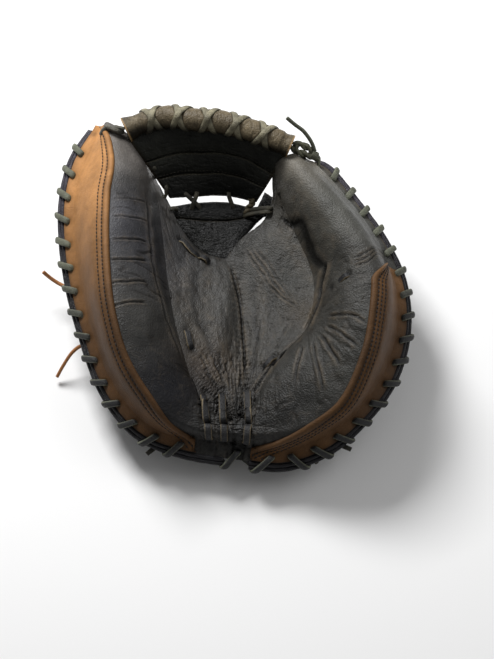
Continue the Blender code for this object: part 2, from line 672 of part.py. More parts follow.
def build_shells(looks, laced):
    """Palm, trims, backs, gussets and bindings; laced maps a node to the holes its laces need."""
    thumb_stitches = stitch_stations(THUMB, *RIM_STITCHES_THUMB, RIM_PITCH)
    finger_stitches = stitch_stations(FINGER, *RIM_STITCHES_FINGER, RIM_PITCH)
    heel_thumb = stitch_stations(THUMB, *HEEL_STITCHES_THUMB, RIM_PITCH)
    heel_finger = stitch_stations(FINGER, *HEEL_STITCHES_FINGER, RIM_PITCH)
    thumb_boxes = stitch_holes(THUMB, thumb_stitches)
    finger_boxes = stitch_holes(FINGER, finger_stitches)
    heel_boxes = stitch_holes(THUMB, heel_thumb) + stitch_holes(FINGER, heel_finger[1:])
    palm_leather(looks, cutter("cutter_palm", thumb_boxes + finger_boxes + heel_boxes + laced["palm"]))
    thumb_holes = cutter("cutter_thumb", thumb_boxes)
    finger_holes = cutter("cutter_finger", finger_boxes)

    black, tan = looks["black_leather"], looks["tan_leather"]
    thumb_trim_s = [s for s in THUMB_S if 0.3 < s < 8.3]
    cut(band("trim_thumb", THUMB, thumb_trim_s, PALM_T[:5], TRIM_LOW, TRIM_HIGH, tan), thumb_holes)
    finger_trim_s = [s for s in FINGER_S if 0.5 < s < 6.2]
    cut(band("trim_finger", FINGER, finger_trim_s, PALM_T[:5], TRIM_LOW, TRIM_HIGH, tan), finger_holes)
    thumb_back_s = [s for s in THUMB_S if s < 8.0]
    cut(band("back_thumb", THUMB, thumb_back_s, BACK_T, BACK_LOW, BACK_HIGH, black, back_offset), thumb_holes)
    finger_back_s = [s for s in FINGER_S if s >= 0.9]
    cut(band("back_finger", FINGER, finger_back_s, BACK_T, BACK_LOW, BACK_HIGH, black, back_offset),
        finger_holes)
    gusset("gusset_thumb", THUMB, [s for s in THUMB_S if 0.5 < s < 4.7], black)
    gusset("gusset_finger", FINGER, [s for s in FINGER_S if 6.3 < s < 9.6], black)
    for name, half, low, high in (("binding_thumb", THUMB, 5.4, 8.0), ("binding_finger", FINGER, 0.9, 5.6)):
        stations = [s for s in (THUMB_S if half is THUMB else FINGER_S) if low < s < high]
        band(name, half, stations, [0.93, 0.965, 1.0], 0.15, 1.35, tan, back_offset)

    welt("welt_thumb", THUMB, 0.1, 8.7, 38, black)
    welt("welt_finger", FINGER, 0.3, 9.8, 38, black)
    lace("rim_lace_thumb", *whip_path(THUMB, thumb_stitches, TRIM_HIGH + 1.3), looks["grey_lace"])
    lace("rim_lace_finger", *whip_path(FINGER, finger_stitches, TRIM_HIGH + 1.3), looks["grey_lace"])
    thumb_part = whip_path(THUMB, heel_thumb, PALM_HIGH + 2.2)
    finger_part = whip_path(FINGER, heel_finger, PALM_HIGH + 2.2)
    lace("heel_edge_lace", thumb_part[0][:-1] + finger_part[0], thumb_part[1][:-1] + finger_part[1],
         looks["grey_lace"])


def build_padding(looks):
    """Felt pads under the palm, split at the hinge, the pocket's thin felt, and the five finger stalls."""
    felt = looks["felt"]
    pad("pad_thumb", THUMB, [s for s in THUMB_S if 0.3 < s < 8.7], 0.17, 0.62, 8.0, felt)
    pad("pad_little_finger", FINGER, [s for s in FINGER_S if 0.4 < s < 5.8], 0.17, 0.62, 8.0, felt)
    pad("pad_index_finger", FINGER, [s for s in FINGER_S if 5.9 < s < 9.8], 0.17, 0.62, 8.0, felt)
    band("pocket_felt_thumb", THUMB, [s for s in THUMB_S if 1.0 < s < 8.8], [0.7, 0.8, 0.9], -3.5, -GAP, felt)
    band("pocket_felt_finger", FINGER, [s for s in FINGER_S if 0.3 < s < 9.0], [0.7, 0.8, 0.9], -3.5, -GAP,
         felt)
    for name, (radius, points) in STALLS.items():
        sleeve(name, even_points(points, 6), radius, LINING, looks["lining"], sides=9)


def panel_point(curves, u, v, d):
    """Point d in front of a web panel's middle: u runs from thumb to fingers, v down from its top."""
    def middle(a, b):
        top, bottom = curves
        return (1 - b) * curve_at(top, a * (len(top) - 1)) + b * curve_at(bottom, a * (len(bottom) - 1))

    u0, u1 = max(u - 0.02, 0), min(u + 0.02, 1)
    n = unit(np.cross(middle(u, 1) - middle(u, 0), middle(u1, v) - middle(u0, v)))
    return middle(u, v) + d * (n if n[2] > 0 else -n)


def panel(name, curves, columns, rows, look):
    """Web panel: a sheet between two curves, its face towards the pocket."""
    us, vs = np.linspace(0, 1, columns), np.linspace(0, 1, rows)
    front, back = ([[panel_point(curves, u, v, d) for u in us] for v in vs]
                   for d in (0.5 * PANEL_THICK, -0.5 * PANEL_THICK))
    return slab(name, front, back, look)


def bar_wrap(name, radius, turns, first, last, look):
    """Flat lace wound round the web's bar."""
    dense = even_points(BAR, 12 * abs(turns) + 1)
    tangents = path_tangents(dense)
    across = unit(np.cross(tangents[0], UP))
    path, normals = [], []
    for k, (p, t) in enumerate(zip(dense, tangents)):
        across = unit(across - np.dot(across, t) * t)
        f = k / (len(dense) - 1)
        if not first <= f <= last:
            continue
        a = 2 * math.pi * turns * f
        n = math.cos(a) * across + math.sin(a) * np.cross(t, across)
        path.append(p + radius * n)
        normals.append(n)
    return lace(name, path, normals, look)


def web_stop(stop, d):
    """A point of a web lace: on the thumb's or finger's palm, or on the upper or lower web panel."""
    where, a, b = stop
    if where in HALVES:
        return palm_offset(HALVES[where], a, b, d + 1.6)
    return panel_point(PANELS[where], a, b, d)


def zigzag(name, stops, look):
    """Lace that runs from stop to stop, lying flat on the palm and the web's panels."""
    points = [web_stop(stop, WEB_LACE_RISE) for stop in stops]
    normals = [unit(p - web_stop(stop, 0.0)) for p, stop in zip(points, stops)]
    return lace(name, points, normals, look, thick=1.6)


def staple_run(stops):
    """Lace over the palm between holes: path, facings and hole boxes. Each stop is (half, s, t)."""
    base = [palm_offset(*stop, 0.0) for stop in stops]
    normals = [unit(palm_offset(*stop, 1.0) - b) for stop, b in zip(stops, base)]
    path, faces, boxes = [], [], []
    for k in range(len(stops) - 1):
        (p, n), (q, m) = (base[k], normals[k]), (base[k + 1], normals[k + 1])
        away, along = flattened(q - p, n), flattened(q - p, m)
        first, last = k == 0, k == len(stops) - 2
        shift = 0.0 if first else STAPLE_TURN
        if first:
            path.append(p + 0.7 * n)
            faces.append(-away)
        path += [p + shift * away + 1.9 * n, p + (shift + 0.6) * away + 3.5 * n,
                 p + (shift + 2.0) * away + 4.2 * n]
        faces += [-away, n - away, n]
        steps = 2 if np.linalg.norm(q - p) < 12 else 4
        for f in (j / steps for j in range(1, steps)):
            half, s0, t0 = stops[k]
            _, s1, t1 = stops[k + 1]
            under = palm_offset(half, s0 + (s1 - s0) * f, t0 + (t1 - t0) * f, 0.0)
            chord, up = (1 - f) * p + f * q, unit(n + m + UP)
            path.append(chord + (STAPLE_RISE + max(np.dot(under - chord, up), 0)) * up)
            faces.append((1 - f) * n + f * m)
        back = 0.0 if last else STAPLE_TURN
        path += [q - (back + 2.0) * along + 4.2 * m, q - (back + 0.6) * along + 3.5 * m,
                 q - back * along + 1.9 * m]
        faces += [m, m + along, along]
        if last:
            path.append(q + 0.7 * m)
            faces.append(along)
        else:
            path.append(q + 1.05 * m)
            faces.append(m)
    for k, (p, n) in enumerate(zip(base, normals)):
        neighbour = base[k + 1] if k + 1 < len(base) else base[k - 1]
        along = flattened(neighbour - p, n)
        half_length = 2.8 if k in (0, len(base) - 1) else 2.7 + STAPLE_TURN
        boxes.append((p, half_length * along, 3.2 * unit(np.cross(n, along)), 4.0 * n))
    return path, [unit(f) for f in faces], boxes


def knot(name, centre, radius, look):
    """Pulled-tight knot: two turns of lace wound close together."""
    path = []
    for f in np.linspace(0.0, 1.0, 21):
        a = 2 * math.pi * KNOT_TURNS * f
        path.append(np.array(centre) + (radius * math.cos(a), KNOT_PITCH * KNOT_TURNS * (f - 0.5),
                                        radius * math.sin(a)))
    return tube(name, path, KNOT_LACE, look, sides=6)


def build_web(looks):
    """Bar, panels and the laces that tie the web between thumb and fingers."""
    grey = looks["grey_lace"]
    tube("web_bar_core", even_points(BAR, 12), BAR_CORE_RADIUS, looks["felt"], sides=8)
    sleeve("web_bar_sleeve", even_points(BAR, 12), BAR_SLEEVE_RADIUS, BAR_SLEEVE_WALL, looks["black_leather"])
    bar_wrap("web_bar_lace_inner", BAR_SLEEVE_RADIUS + 1.7, BAR_TURNS, 0.1, 0.93, grey)
    bar_wrap("web_bar_lace_outer", BAR_SLEEVE_RADIUS + 3.9, -BAR_TURNS, 0.1, 0.93, grey)
    panel("web_upper_panel", PANELS["upper"], 10, 6, looks["black_leather"])
    panel("web_lower_panel", PANELS["lower"], 9, 5, looks["black_leather"])
    for name, stops in WEB_LACES.items():
        zigzag(name, stops, grey)


def build_strap(looks):
    """Wrist strap with its ring, keeper, fold-back tab and hook-and-loop patches, all on the back."""
    width = 0.5 * STRAP_WIDTH

    def strip(name, outline, half_width, look):
        """Sheet with this outline in x and z, as pairs of points on its two faces."""
        top = [[(a[0], STRAP_Y + y, a[1]) for a, _ in outline] for y in (-half_width, 0.0, half_width)]
        bottom = [[(b[0], STRAP_Y + y, b[1]) for _, b in outline] for y in (-half_width, 0.0, half_width)]
        return slab(name, top, bottom, look)

    def fold(x, sign, first, last, steps):
        """Outline of a fold round a ring bar at x, from angle first to last in degrees."""
        angles = [math.radians(first + (last - first) * k / steps) for k in range(steps + 1)]
        return [((x + sign * FOLD_OUT * math.cos(a), RING_Z + FOLD_OUT * math.sin(a)),
                 (x + sign * FOLD_IN * math.cos(a), RING_Z + FOLD_IN * math.sin(a))) for a in angles]

    top, under = RING_Z + FOLD_OUT, RING_Z + FOLD_IN
    straight = [((x, top), (x, under)) for x in (STRAP_SEWN_X, 30, 0, -30)]
    strip("wrist_strap", straight + fold(RING_BAR_X, -1, 90, -82, 8), width, looks["black_leather"])
    low_top, low = RING_Z - FOLD_IN, RING_Z - FOLD_OUT
    strip("strap_tab", [((x, low_top), (x, low)) for x in (TAB_START_X, -40, -25, TAB_END_X)], width,
          looks["tan_leather"])
    strip("hook_patch", [((x, low_top + 1.1), (x, low_top + 0.3)) for x in (-46, -30, TAB_END_X + 3)],
          width - 3, looks["fleece"])
    strip("loop_patch", [((x, under - 0.3), (x, under - 1.2)) for x in (-46, -30, TAB_END_X + 3)],
          width - 3, looks["fleece"])
    keeper = [((x, top), (x, under)) for x in (KEEPER_SEWN_X, -76)] + fold(RING_KEEPER_X, 1, 90, -90, 8)
    keeper += [((x, low), (x, low_top)) for x in (-76, KEEPER_SEWN_X + 3)]
    strip("strap_keeper", keeper, width - 2, looks["black_leather"])
    x0, x1, y0 = RING_KEEPER_X, RING_BAR_X, width + 1.5
    r = RING_WIRE
    outer = [(x0 - r, -y0 - r), (x1 + r, -y0 - r), (x1 + r, y0 + r), (x0 - r, y0 + r)]
    inner = [(x0 + r, -y0 + r), (x1 - r, -y0 + r), (x1 - r, y0 - r), (x0 + r, y0 - r)]
    points = [(x, STRAP_Y + y, RING_Z + z) for z in (-r, r) for ring in (outer, inner) for x, y in ring]
    faces = []
    for k in range(4):
        j = (k + 1) % 4
        loop = [(k, j), (k + 4, j + 4), (k + 12, j + 12), (k + 8, j + 8)]
        for (a, b), (c, d) in zip(loop, loop[1:] + loop[:1]):
            faces += [(a, b, d), (a, d, c)]
    make_object("strap_ring", points, faces, looks["nickel"])


def cord(name, points, radius, look):
    """Loose lace end: a round curve through the points."""
    placed = (np.asarray(points, float) - FRAME_ORIGIN) * MM
    data = bpy.data.curves.new(name, "CURVE")
    data.dimensions = "3D"
    spline = data.splines.new("POLY")
    spline.points.add(len(placed) - 1)
    for point, place in zip(spline.points, placed):
        point.co = (*place, 1.0)
    data.bevel_depth = radius * MM
    data.bevel_resolution = 2
    data.use_fill_caps = True
    data.materials.append(look)
    obj = bpy.data.objects.new(name, data)
    bpy.context.scene.collection.objects.link(obj)
    return obj


def build_laces(looks):
    """Palm and heel laces, the laces that tie the web, and the loose ends. Returns the palm's holes."""
    grey, holes = looks["grey_lace"], []
    for name, stops in PALM_LACES.items():
        path, normals, boxes = staple_run([(HALVES[h], s, t) for h, s, t in stops])
        lace(name, path, normals, grey)
        holes += boxes
    bar_end = np.array(BAR[0], float) - 1.6 * unit(np.array(BAR[1], float) - BAR[0])
    start = palm_offset(THUMB, 0.25, 0.3, 3.8)
    lace("tip_lace_thumb", [start, start + (3, 1, 3.4), bar_end + (-6, 0, 4.2), bar_end + (-1.6, 0, 2.5)],
         [(-1, 0, 1), (-0.5, 0, 1), (0, 0, 1), (0.5, 0, 1)], grey)
    loop = [palm_offset(FINGER, s, t, d) for s, t, d in TIP_LOOP]
    tube("tip_loop_finger", curve_points(loop, 14), 1.9, looks["tan_lace"], sides=6)
    knot("tip_knot_finger", palm_offset(FINGER, *TIP_KNOT, 6.5), 2.6, grey)
    along = [back_offset(THUMB, s, THUMB_LOOP_T, BACK_LOW - 1.4) for s in np.linspace(*THUMB_LOOP_S, 9)]
    facing = [unit(back_offset(THUMB, s, THUMB_LOOP_T, -1) - back_offset(THUMB, s, THUMB_LOOP_T, 0))
              for s in np.linspace(*THUMB_LOOP_S, 9)]
    lace("thumb_loop_lace", along, facing, looks["tan_lace"])
    for name, (points, look) in TAILS.items():
        cord(name, curve_points(points, 14), TAIL_RADIUS, looks[look])
    return holes


def hinge(name, place, members, parent=None):
    """Empty on a joint's axis, with the pieces that turn about it as its children."""
    pivot = bpy.data.objects.new(name, None)
    bpy.context.scene.collection.objects.link(pivot)
    pivot.location = (np.array(place) - FRAME_ORIGIN) * MM
    if parent:
        pivot.location -= parent.location
        pivot.parent = parent
    bpy.context.view_layer.update()
    for member in members:
        obj = bpy.data.objects[member]
        obj.parent = pivot
        obj.matrix_parent_inverse = pivot.matrix_world.inverted()
    return pivot


# The pieces on each moving side; everything else stays with the fingers
THUMB_SIDE = ["trim_thumb", "back_thumb", "gusset_thumb", "binding_thumb", "welt_thumb", "rim_lace_thumb",
              "pad_thumb", "pocket_felt_thumb", "stall_thumb", "palm_lace_thumb", "heel_lace_thumb",
              "web_base_lace", "tip_lace_thumb", "thumb_loop_lace", "tail_thumb_upper",
              "tail_thumb_lower", "strap_ring", "strap_keeper", "loop_patch"]
STRAP_TAB = ["strap_tab", "hook_patch"]


def main():
    """Clears the scene, builds every piece, and hangs the moving ones on their joints' axes."""
    for obj in list(bpy.data.objects):
        bpy.data.objects.remove(obj)
    looks = palette()
    holes = build_laces(looks)
    build_shells(looks, {"palm": holes})
    build_padding(looks)
    build_web(looks)
    build_strap(looks)
    fold = hinge("pocket_fold_axis", FOLD_AXIS, THUMB_SIDE)
    hinge("strap_peel_axis", PEEL_AXIS, STRAP_TAB, fold)


main()
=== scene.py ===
"""Looks of the baseball catcher's mitt: leather, lacing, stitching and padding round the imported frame.

The mitt lies on its back with the pocket up; +Y runs from heel to web and +X from thumb to fingers.
Shapes are worked out in the design's millimetres and placed in the frame's metres by place().
Each half of the mitt is a surface over s, the station along its rim, and t, from the laced edge (0)
to the middle of the pocket (1). The guide points below are the design's own, raised a little at the two tips.
"""

import math

import bmesh
import bpy
import numpy as np
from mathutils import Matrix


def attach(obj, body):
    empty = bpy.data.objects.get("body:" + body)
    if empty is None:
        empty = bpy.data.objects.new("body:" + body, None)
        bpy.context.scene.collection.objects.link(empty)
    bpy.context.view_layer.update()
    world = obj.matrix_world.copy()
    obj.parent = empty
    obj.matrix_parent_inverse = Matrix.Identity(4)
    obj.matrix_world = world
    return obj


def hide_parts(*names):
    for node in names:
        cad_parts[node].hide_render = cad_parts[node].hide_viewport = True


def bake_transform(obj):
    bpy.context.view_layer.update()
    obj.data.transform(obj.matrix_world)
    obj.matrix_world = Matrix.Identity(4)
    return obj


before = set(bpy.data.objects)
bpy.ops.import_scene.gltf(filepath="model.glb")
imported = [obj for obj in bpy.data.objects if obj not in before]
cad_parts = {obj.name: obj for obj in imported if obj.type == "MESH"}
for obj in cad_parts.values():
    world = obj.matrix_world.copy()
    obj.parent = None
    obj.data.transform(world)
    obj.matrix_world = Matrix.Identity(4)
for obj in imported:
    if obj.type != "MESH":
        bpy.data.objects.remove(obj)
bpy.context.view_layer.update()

MM = 0.001
UP = np.array([0.0, 0.0, 1.0])
FRAME_ORIGIN = np.array([-1.857, -31.323, 0.4])

PALM_TOP = 2.2  # the palm leather's upper face over the base surface
TRIM_LOW, TRIM_TOP = 2.45, 4.35
BACK_LOW = -2.2
BACK_FLOOR = 2.6
FLANGE = 12.0
HOLE_IN = 5.5
LACE_WIDTH = 4.6
RIM_PITCH = 19.5
T_FLANGE, T_CREST, T_VALLEY = 0.1, 0.35, 0.7

CENTRE_LINE = [(-8, 6, 38), (2, -17, 36), (6, -47, 34), (8, -79, 35.5), (7, -110, 37), (3, -133, 37.5)]
THUMB = {
    "edge": [(-111, 106, 79), (-128, 78, 72), (-135, 45, 64), (-134, 10, 56), (-128, -26, 49),
             (-118, -62, 43), (-101, -108, 36), (-75, -143, 31), (-40, -158, 26), (2, -165, 24)],
    "crest": [(-102, 100, 93), (-95, 60, 96), (-97, 30, 98), (-97, -3, 98), (-95, -38, 95),
              (-90, -74, 90), (-79, -108, 78), (-57, -137, 61), (-34, -146, 46), (1, -150, 41)],
    "valley": [(-86, 92, 84), (-71, 70, 68), (-64, 48, 59), (-60, 18, 55), (-56, -12, 52),
               (-51, -46, 50), (-43, -82, 48), (-33, -113, 46), (-23, -132, 42), (2, -142, 39)],
    "notch": [(-83, 93, 72), (-66, 73, 54), (-54, 52, 46), (-42, 30, 41), (-26, 13, 38), (-8, 6, 38)],
    "bottom": [(-92, 84, 50), (-101, 66, 28), (-103, 40, 10), (-100, 8, 2.6), (-95, -28, 2.6),
               (-88, -62, 4.4), (-77, -94, 10.6), (-61, -122, 10), (-44, -138, 15)],
    "back_inner": [(-84, 84, 58), (-68, 64, 34), (-54, 42, 14), (-38, 20, 2.6), (-20, 2, 2.6),
                   (-8.5, -24, 2.6), (-24, -58, 8), (-44, -90, 9.6), (-42, -126, 12)],
    "crotch": 5.0, "heel": 9.0, "last": 9,
}
FINGER = {
    "edge": [(2, -165, 24), (38, -169, 26), (72, -158, 33), (100, -133, 38), (120, -104, 43),
             (131, -66, 49), (129, -26, 56), (114, 10, 63), (92, 43, 69), (74, 66, 74), (60, 72, 78)],
    "crest": [(1, -150, 41), (31, -153, 47), (56, -151, 58), (80, -141, 72), (97, -108, 88),
              (104, -72, 98), (104, -42, 101), (91, -8, 102), (74, 22, 101), (55, 50, 98), (45, 68, 94)],
    "valley": [(2, -142, 39), (15, -130, 42), (25, -109, 46), (40, -86, 49), (56, -66, 50),
               (63, -42, 52), (62, -15, 52), (53, 10, 54), (44, 32, 57), (37, 52, 67), (33, 67, 84)],
    "notch": [(-8, 6, 38), (4, 21, 44), (22, 35, 50), (30, 51, 57), (31, 65, 71)],
    "bottom": [(36, -150, 17), (42, -148, 16), (62, -136, 12), (84, -113, 9.8), (98, -83, 7.5),
               (104, -52, 2.6), (101, -20, 2.6), (88, 8, 8), (72, 34, 20), (58, 54, 36), (50, 62, 50)],
    "back_inner": [(34, -142, 16), (39, -137, 14), (47, -115, 9.6), (43, -90, 9.6), (26, -60, 7.5),
                   (-1.5, -30, 2.6), (-2, -8, 2.6), (8, 12, 4), (22, 30, 12), (34, 48, 32), (40, 60, 52)],
    "crotch": 6.0, "heel": 0.0, "last": 10,
}
HALVES = {"T": THUMB, "F": FINGER}

BAR = [(-87, 91, 96), (-73, 97, 99), (-53, 100, 102), (-33, 96, 104), (-12, 93, 105),
       (8, 87, 104), (25, 81, 102), (44, 74, 98)]
BAR_RADIUS = 8.2
PANELS = {
    "upper": ([(-77, 84, 84), (-52, 92, 88.5), (-30, 91.2, 90.7),
               (-10, 88.5, 91.8), (12, 83, 90.5), (31, 71, 87)],
              [(-51, 57, 50), (-30, 60, 48), (-8, 60, 48), (13, 54, 50)]),
    "lower": ([(-47, 51, 43.5), (-28, 54, 42), (-8, 54, 42), (10, 50, 44)],
              [(-34, 25, 35.5), (-20, 15.5, 34.3), (-6, 13, 34.3), (5, 27.5, 38)]),
}

# Loose lace ends: the design's own route points
TAIL_RADIUS = 1.6
TAILS = {
    "tail_index": ([(63, 74, 92), (60, 78, 99), (54, 83, 106), (47, 86, 111), (40.5, 89, 116)], "grey_lace"),
    "tail_thumb_upper": ([(-128, -16, 33), (-134, -13, 27), (-141, -8, 24), (-148, -4, 26), (-154, -1, 31)],
                         "tan_lace"),
    "tail_thumb_lower": ([(-116, -65, 24), (-122, -66, 25), (-129, -70, 21), (-136, -77, 13), (-141, -83, 6)],
                         "tan_lace"),
}


# ---------------------------------------------------------------- numbers and vectors
def place(points):
    """Design millimetres to frame metres."""
    return (np.asarray(points, float) - FRAME_ORIGIN) * MM


def srgb(r, g, b):
    """Linear colour from display values 0 to 255."""
    c = np.array([r, g, b], float) / 255
    return np.where(c <= 0.04045, c / 12.92, ((c + 0.055) / 1.055) ** 2.4)


def unit(v):
    """Vectors scaled to length one."""
    v = np.asarray(v, float)
    return v / np.maximum(np.linalg.norm(v, axis=-1, keepdims=True), 1e-9)


def smooth(x, low, high):
    """0 below low, 1 above high, with a smooth step between."""
    f = np.clip((x - low) / (high - low), 0, 1)
    return f * f * (3 - 2 * f)


def hashed(cell, seed):
    """Repeatable value from -1 to 1 for each whole-number cell."""
    h = seed * 1274126177
    for k, prime in zip(range(cell.shape[-1]), (374761393, 668265263, 2147483647)):
        h = h + cell[..., k] * prime
    h = (h ^ (h >> 13)) * 1103515245 & 0xFFFFFFFF
    h = (h ^ (h >> 16)) * 668265263 & 0xFFFFFFFF
    return ((h ^ (h >> 15)) & 0xFFFF) / 32767.5 - 1


def noise(points, seed=0):
    """Smooth value noise, one cell per unit, in two or three dimensions."""
    cell = np.floor(points).astype(np.int64)
    f = points - cell
    f = f * f * (3 - 2 * f)
    dims, total = points.shape[-1], 0.0
    for corner in range(2 ** dims):
        step = np.array([(corner >> k) & 1 for k in range(dims)])
        weight = np.prod(np.where(step == 1, f, 1 - f), axis=-1)
        total = total + weight * hashed(cell + step, seed)
    return total


def layered(points, seed=0, layers=3):
    """Noise with finer layers added."""
    return sum(noise(points * 2 ** k, seed + k) / 2 ** k for k in range(layers))


def lines(u, v, seed, width=0.12):
    """Thin winding lines that run along u and repeat across v: 1 on a line, 0 between."""
    n = noise(np.stack([u, v], axis=-1), seed) + 0.5 * noise(np.stack([u * 2.1, v * 2.3], axis=-1), seed + 7)
    return np.exp(-(n / width) ** 2)


# ---------------------------------------------------------------- the mitt's surfaces
def curve(points, s):
    """Points at stations s on the Catmull-Rom curve through the guide points."""
    p = np.asarray(points, float)
    p = np.concatenate([[2 * p[0] - p[1]], p, [2 * p[-1] - p[-2]]])
    s = np.asarray(s, float)
    i = np.clip(np.floor(s).astype(int), 0, len(p) - 4)
    f = (s - i)[..., None]
    p0, p1, p2, p3 = p[i], p[i + 1], p[i + 2], p[i + 3]
    return 0.5 * (2 * p1 + (p2 - p0) * f + (2 * p0 - 5 * p1 + 4 * p2 - p3) * f**2
                  + (3 * p1 - p0 - 3 * p2 + p3) * f**3)


def through(points, count):
    """Count points evenly spaced in length along the smooth curve through the points."""
    dense = curve(points, np.linspace(0, len(points) - 1, 400))
    length = np.concatenate([[0], np.cumsum(np.linalg.norm(np.diff(dense, axis=0), axis=1))])
    wanted = np.linspace(0, length[-1], count)
    return np.stack([np.interp(wanted, length, dense[:, k]) for k in range(dense.shape[1])], axis=1)


def hermite(p0, m0, p1, m1, f):
    """Cubic from p0 to p1 with the end tangents m0 and m1."""
    return ((2 * f**3 - 3 * f**2 + 1) * p0 + (f**3 - 2 * f**2 + f) * m0
            + (3 * f**2 - 2 * f**3) * p1 + (f**3 - f**2) * m1)


def size_of(v):
    """Lengths of vectors, kept as a column."""
    return np.linalg.norm(v, axis=-1, keepdims=True)


def section(half, s):
    """Guide points and directions of the half at stations s."""
    g = {name: curve(half[name], s) for name in ("edge", "crest", "valley")}
    q = (s - half["crotch"]) / (half["heel"] - half["crotch"])
    first = 0.0 if half["crotch"] < half["heel"] else half["crotch"]
    on_notch = curve(half["notch"], s - first)
    on_centre = curve(CENTRE_LINE, np.maximum(q, 0) * (len(CENTRE_LINE) - 1))
    g["inner"] = np.where(q[..., None] >= 0, on_centre, on_notch)
    level = g["valley"] - g["edge"]
    level[..., 2] = 0
    g["level"] = unit(level)
    g["lean"] = unit(unit(g["crest"] - g["edge"]) + 0.5 * g["level"])
    g["root"] = g["edge"] + FLANGE * g["lean"]
    g["q"] = q
    return g


def palm_base(half, s, t):
    """Base surface of the palm for stations s at one t."""
    g = section(half, s)
    if t <= T_FLANGE:
        return g["edge"] + (g["root"] - g["edge"]) * t / T_FLANGE
    if t <= T_CREST:
        size = size_of(g["crest"] - g["root"])
        return hermite(g["root"], size * unit(g["lean"] + 0.6 * UP), g["crest"], size * g["level"],
                       (t - T_FLANGE) / (T_CREST - T_FLANGE))
    if t <= T_VALLEY:
        size = size_of(g["valley"] - g["crest"])
        return hermite(g["crest"], size * g["level"], g["valley"], size * unit(0.35 * g["level"] - UP),
                       (t - T_CREST) / (T_VALLEY - T_CREST))
    across = g["inner"] - g["valley"]
    return hermite(g["valley"], 0.9 * across, g["inner"], across, (t - T_VALLEY) / (1 - T_VALLEY))


def back_base(half, s, t):
    """Base surface of the back for stations s at one t."""
    g = section(half, s)
    if t <= 0.15:
        return g["edge"] + (g["root"] - g["edge"]) * t / 0.15
    bottom, inner = curve(half["bottom"], s), curve(half["back_inner"], s)
    bottom[..., 2] = np.maximum(bottom[..., 2], BACK_FLOOR)
    inner[..., 2] = np.maximum(inner[..., 2], BACK_FLOOR)
    if t <= 0.7:
        size = size_of(bottom - g["root"])
        return hermite(g["root"], size * unit(0.25 * g["lean"] - UP), bottom, size * unit(inner - bottom),
                       (t - 0.15) / 0.55)
    return bottom + (inner - bottom) * (t - 0.7) / 0.3


def offset(base, half, s, t, d):
    """Points d above a base surface for stations s at one t."""
    step = 0.01
    s = np.asarray(s, float)
    across = base(half, np.minimum(s + step, half["last"]), t) - base(half, np.maximum(s - step, 0), t)
    along = base(half, s, min(t + step, 1)) - base(half, s, max(t - step, 0))
    normal = unit(np.cross(across, along))
    if base is back_base:
        p = base(half, s, t) + d * normal
        p[..., 2] = np.maximum(p[..., 2], BACK_FLOOR + d)
        return p
    q = (s - half["crotch"]) / (half["heel"] - half["crotch"])
    level = (np.clip(3 * q, 0, 1) * min(max((t - 0.75) / 0.25, 0), 1))[..., None]
    return base(half, s, t) + d * unit((1 - level) * normal + level * UP)


def sheet_grid(base, half, s, ts, d):
    """Grid of points with a row for each station and a column for each t."""
    return np.stack([offset(base, half, s, t, d) for t in ts], axis=1)


def spot(half, s, t, d):
    """One point d above the palm's base surface."""
    return offset(palm_base, half, np.array([float(s)]), t, d)[0]


def up_at(half, s, t):
    """Unit normal of the palm at one point."""
    return unit(spot(half, s, t, 1.0) - spot(half, s, t, 0.0))


# ---------------------------------------------------------------- meshes and materials
def tidy(obj):
    """Faces point outwards, smooth shading with sharp folds."""
    work = bmesh.new()
    work.from_mesh(obj.data)
    bmesh.ops.recalc_face_normals(work, faces=work.faces)
    work.to_mesh(obj.data)
    work.free()
    obj.data.shade_smooth()
    obj.data.set_sharp_from_angle(angle=math.radians(55))


def paint(mesh, tint):
    """Stores a colour for each point of the mesh."""
    colours = mesh.attributes.get("tint") or mesh.attributes.new("tint", "FLOAT_COLOR", "POINT")
    full = np.concatenate([tint, np.ones((len(tint), 1))], axis=1)
    colours.data.foreach_set("color", full.astype(np.float32).ravel())


def piece(name, points, faces, look, tint, fix=True):
    """Mesh object from design points, with a colour for each point."""
    mesh = bpy.data.meshes.new(name)
    faces = faces.tolist() if isinstance(faces, np.ndarray) else faces
    mesh.from_pydata(place(points).tolist(), [], faces)
    paint(mesh, np.broadcast_to(np.asarray(tint, float), (len(points), 3)))
    mesh.materials.append(look)
    obj = bpy.data.objects.new(name, mesh)
    bpy.context.scene.collection.objects.link(obj)
    if fix:
        tidy(obj)
    return obj


def grid_faces(rows, cols, first=0, closed=False):
    """Quads between neighbouring rows and columns; closed joins the last column to the first."""
    index = first + np.arange(rows * cols).reshape(rows, cols)
    if closed:
        index = np.concatenate([index, index[:, :1]], axis=1)
    return np.stack([index[:-1, :-1], index[:-1, 1:], index[1:, 1:], index[1:, :-1]], axis=-1).reshape(-1, 4)


def slab(top, bottom):
    """Points and quads of a closed sheet between two grids."""
    rows, cols = top.shape[:2]
    points = np.concatenate([top.reshape(-1, 3), bottom.reshape(-1, 3)])
    under = rows * cols
    index = np.arange(under).reshape(rows, cols)
    ring = np.concatenate([index[0], index[1:, -1], index[-1, -2::-1], index[-2:0:-1, 0]])
    wall = np.stack([ring, ring + under, np.roll(ring, -1) + under, np.roll(ring, -1)], axis=-1)
    return points, np.concatenate([grid_faces(rows, cols), grid_faces(rows, cols, under)[:, ::-1], wall])


def tangents(path):
    """Unit tangents along a list of points."""
    return unit(np.gradient(path, axis=0))


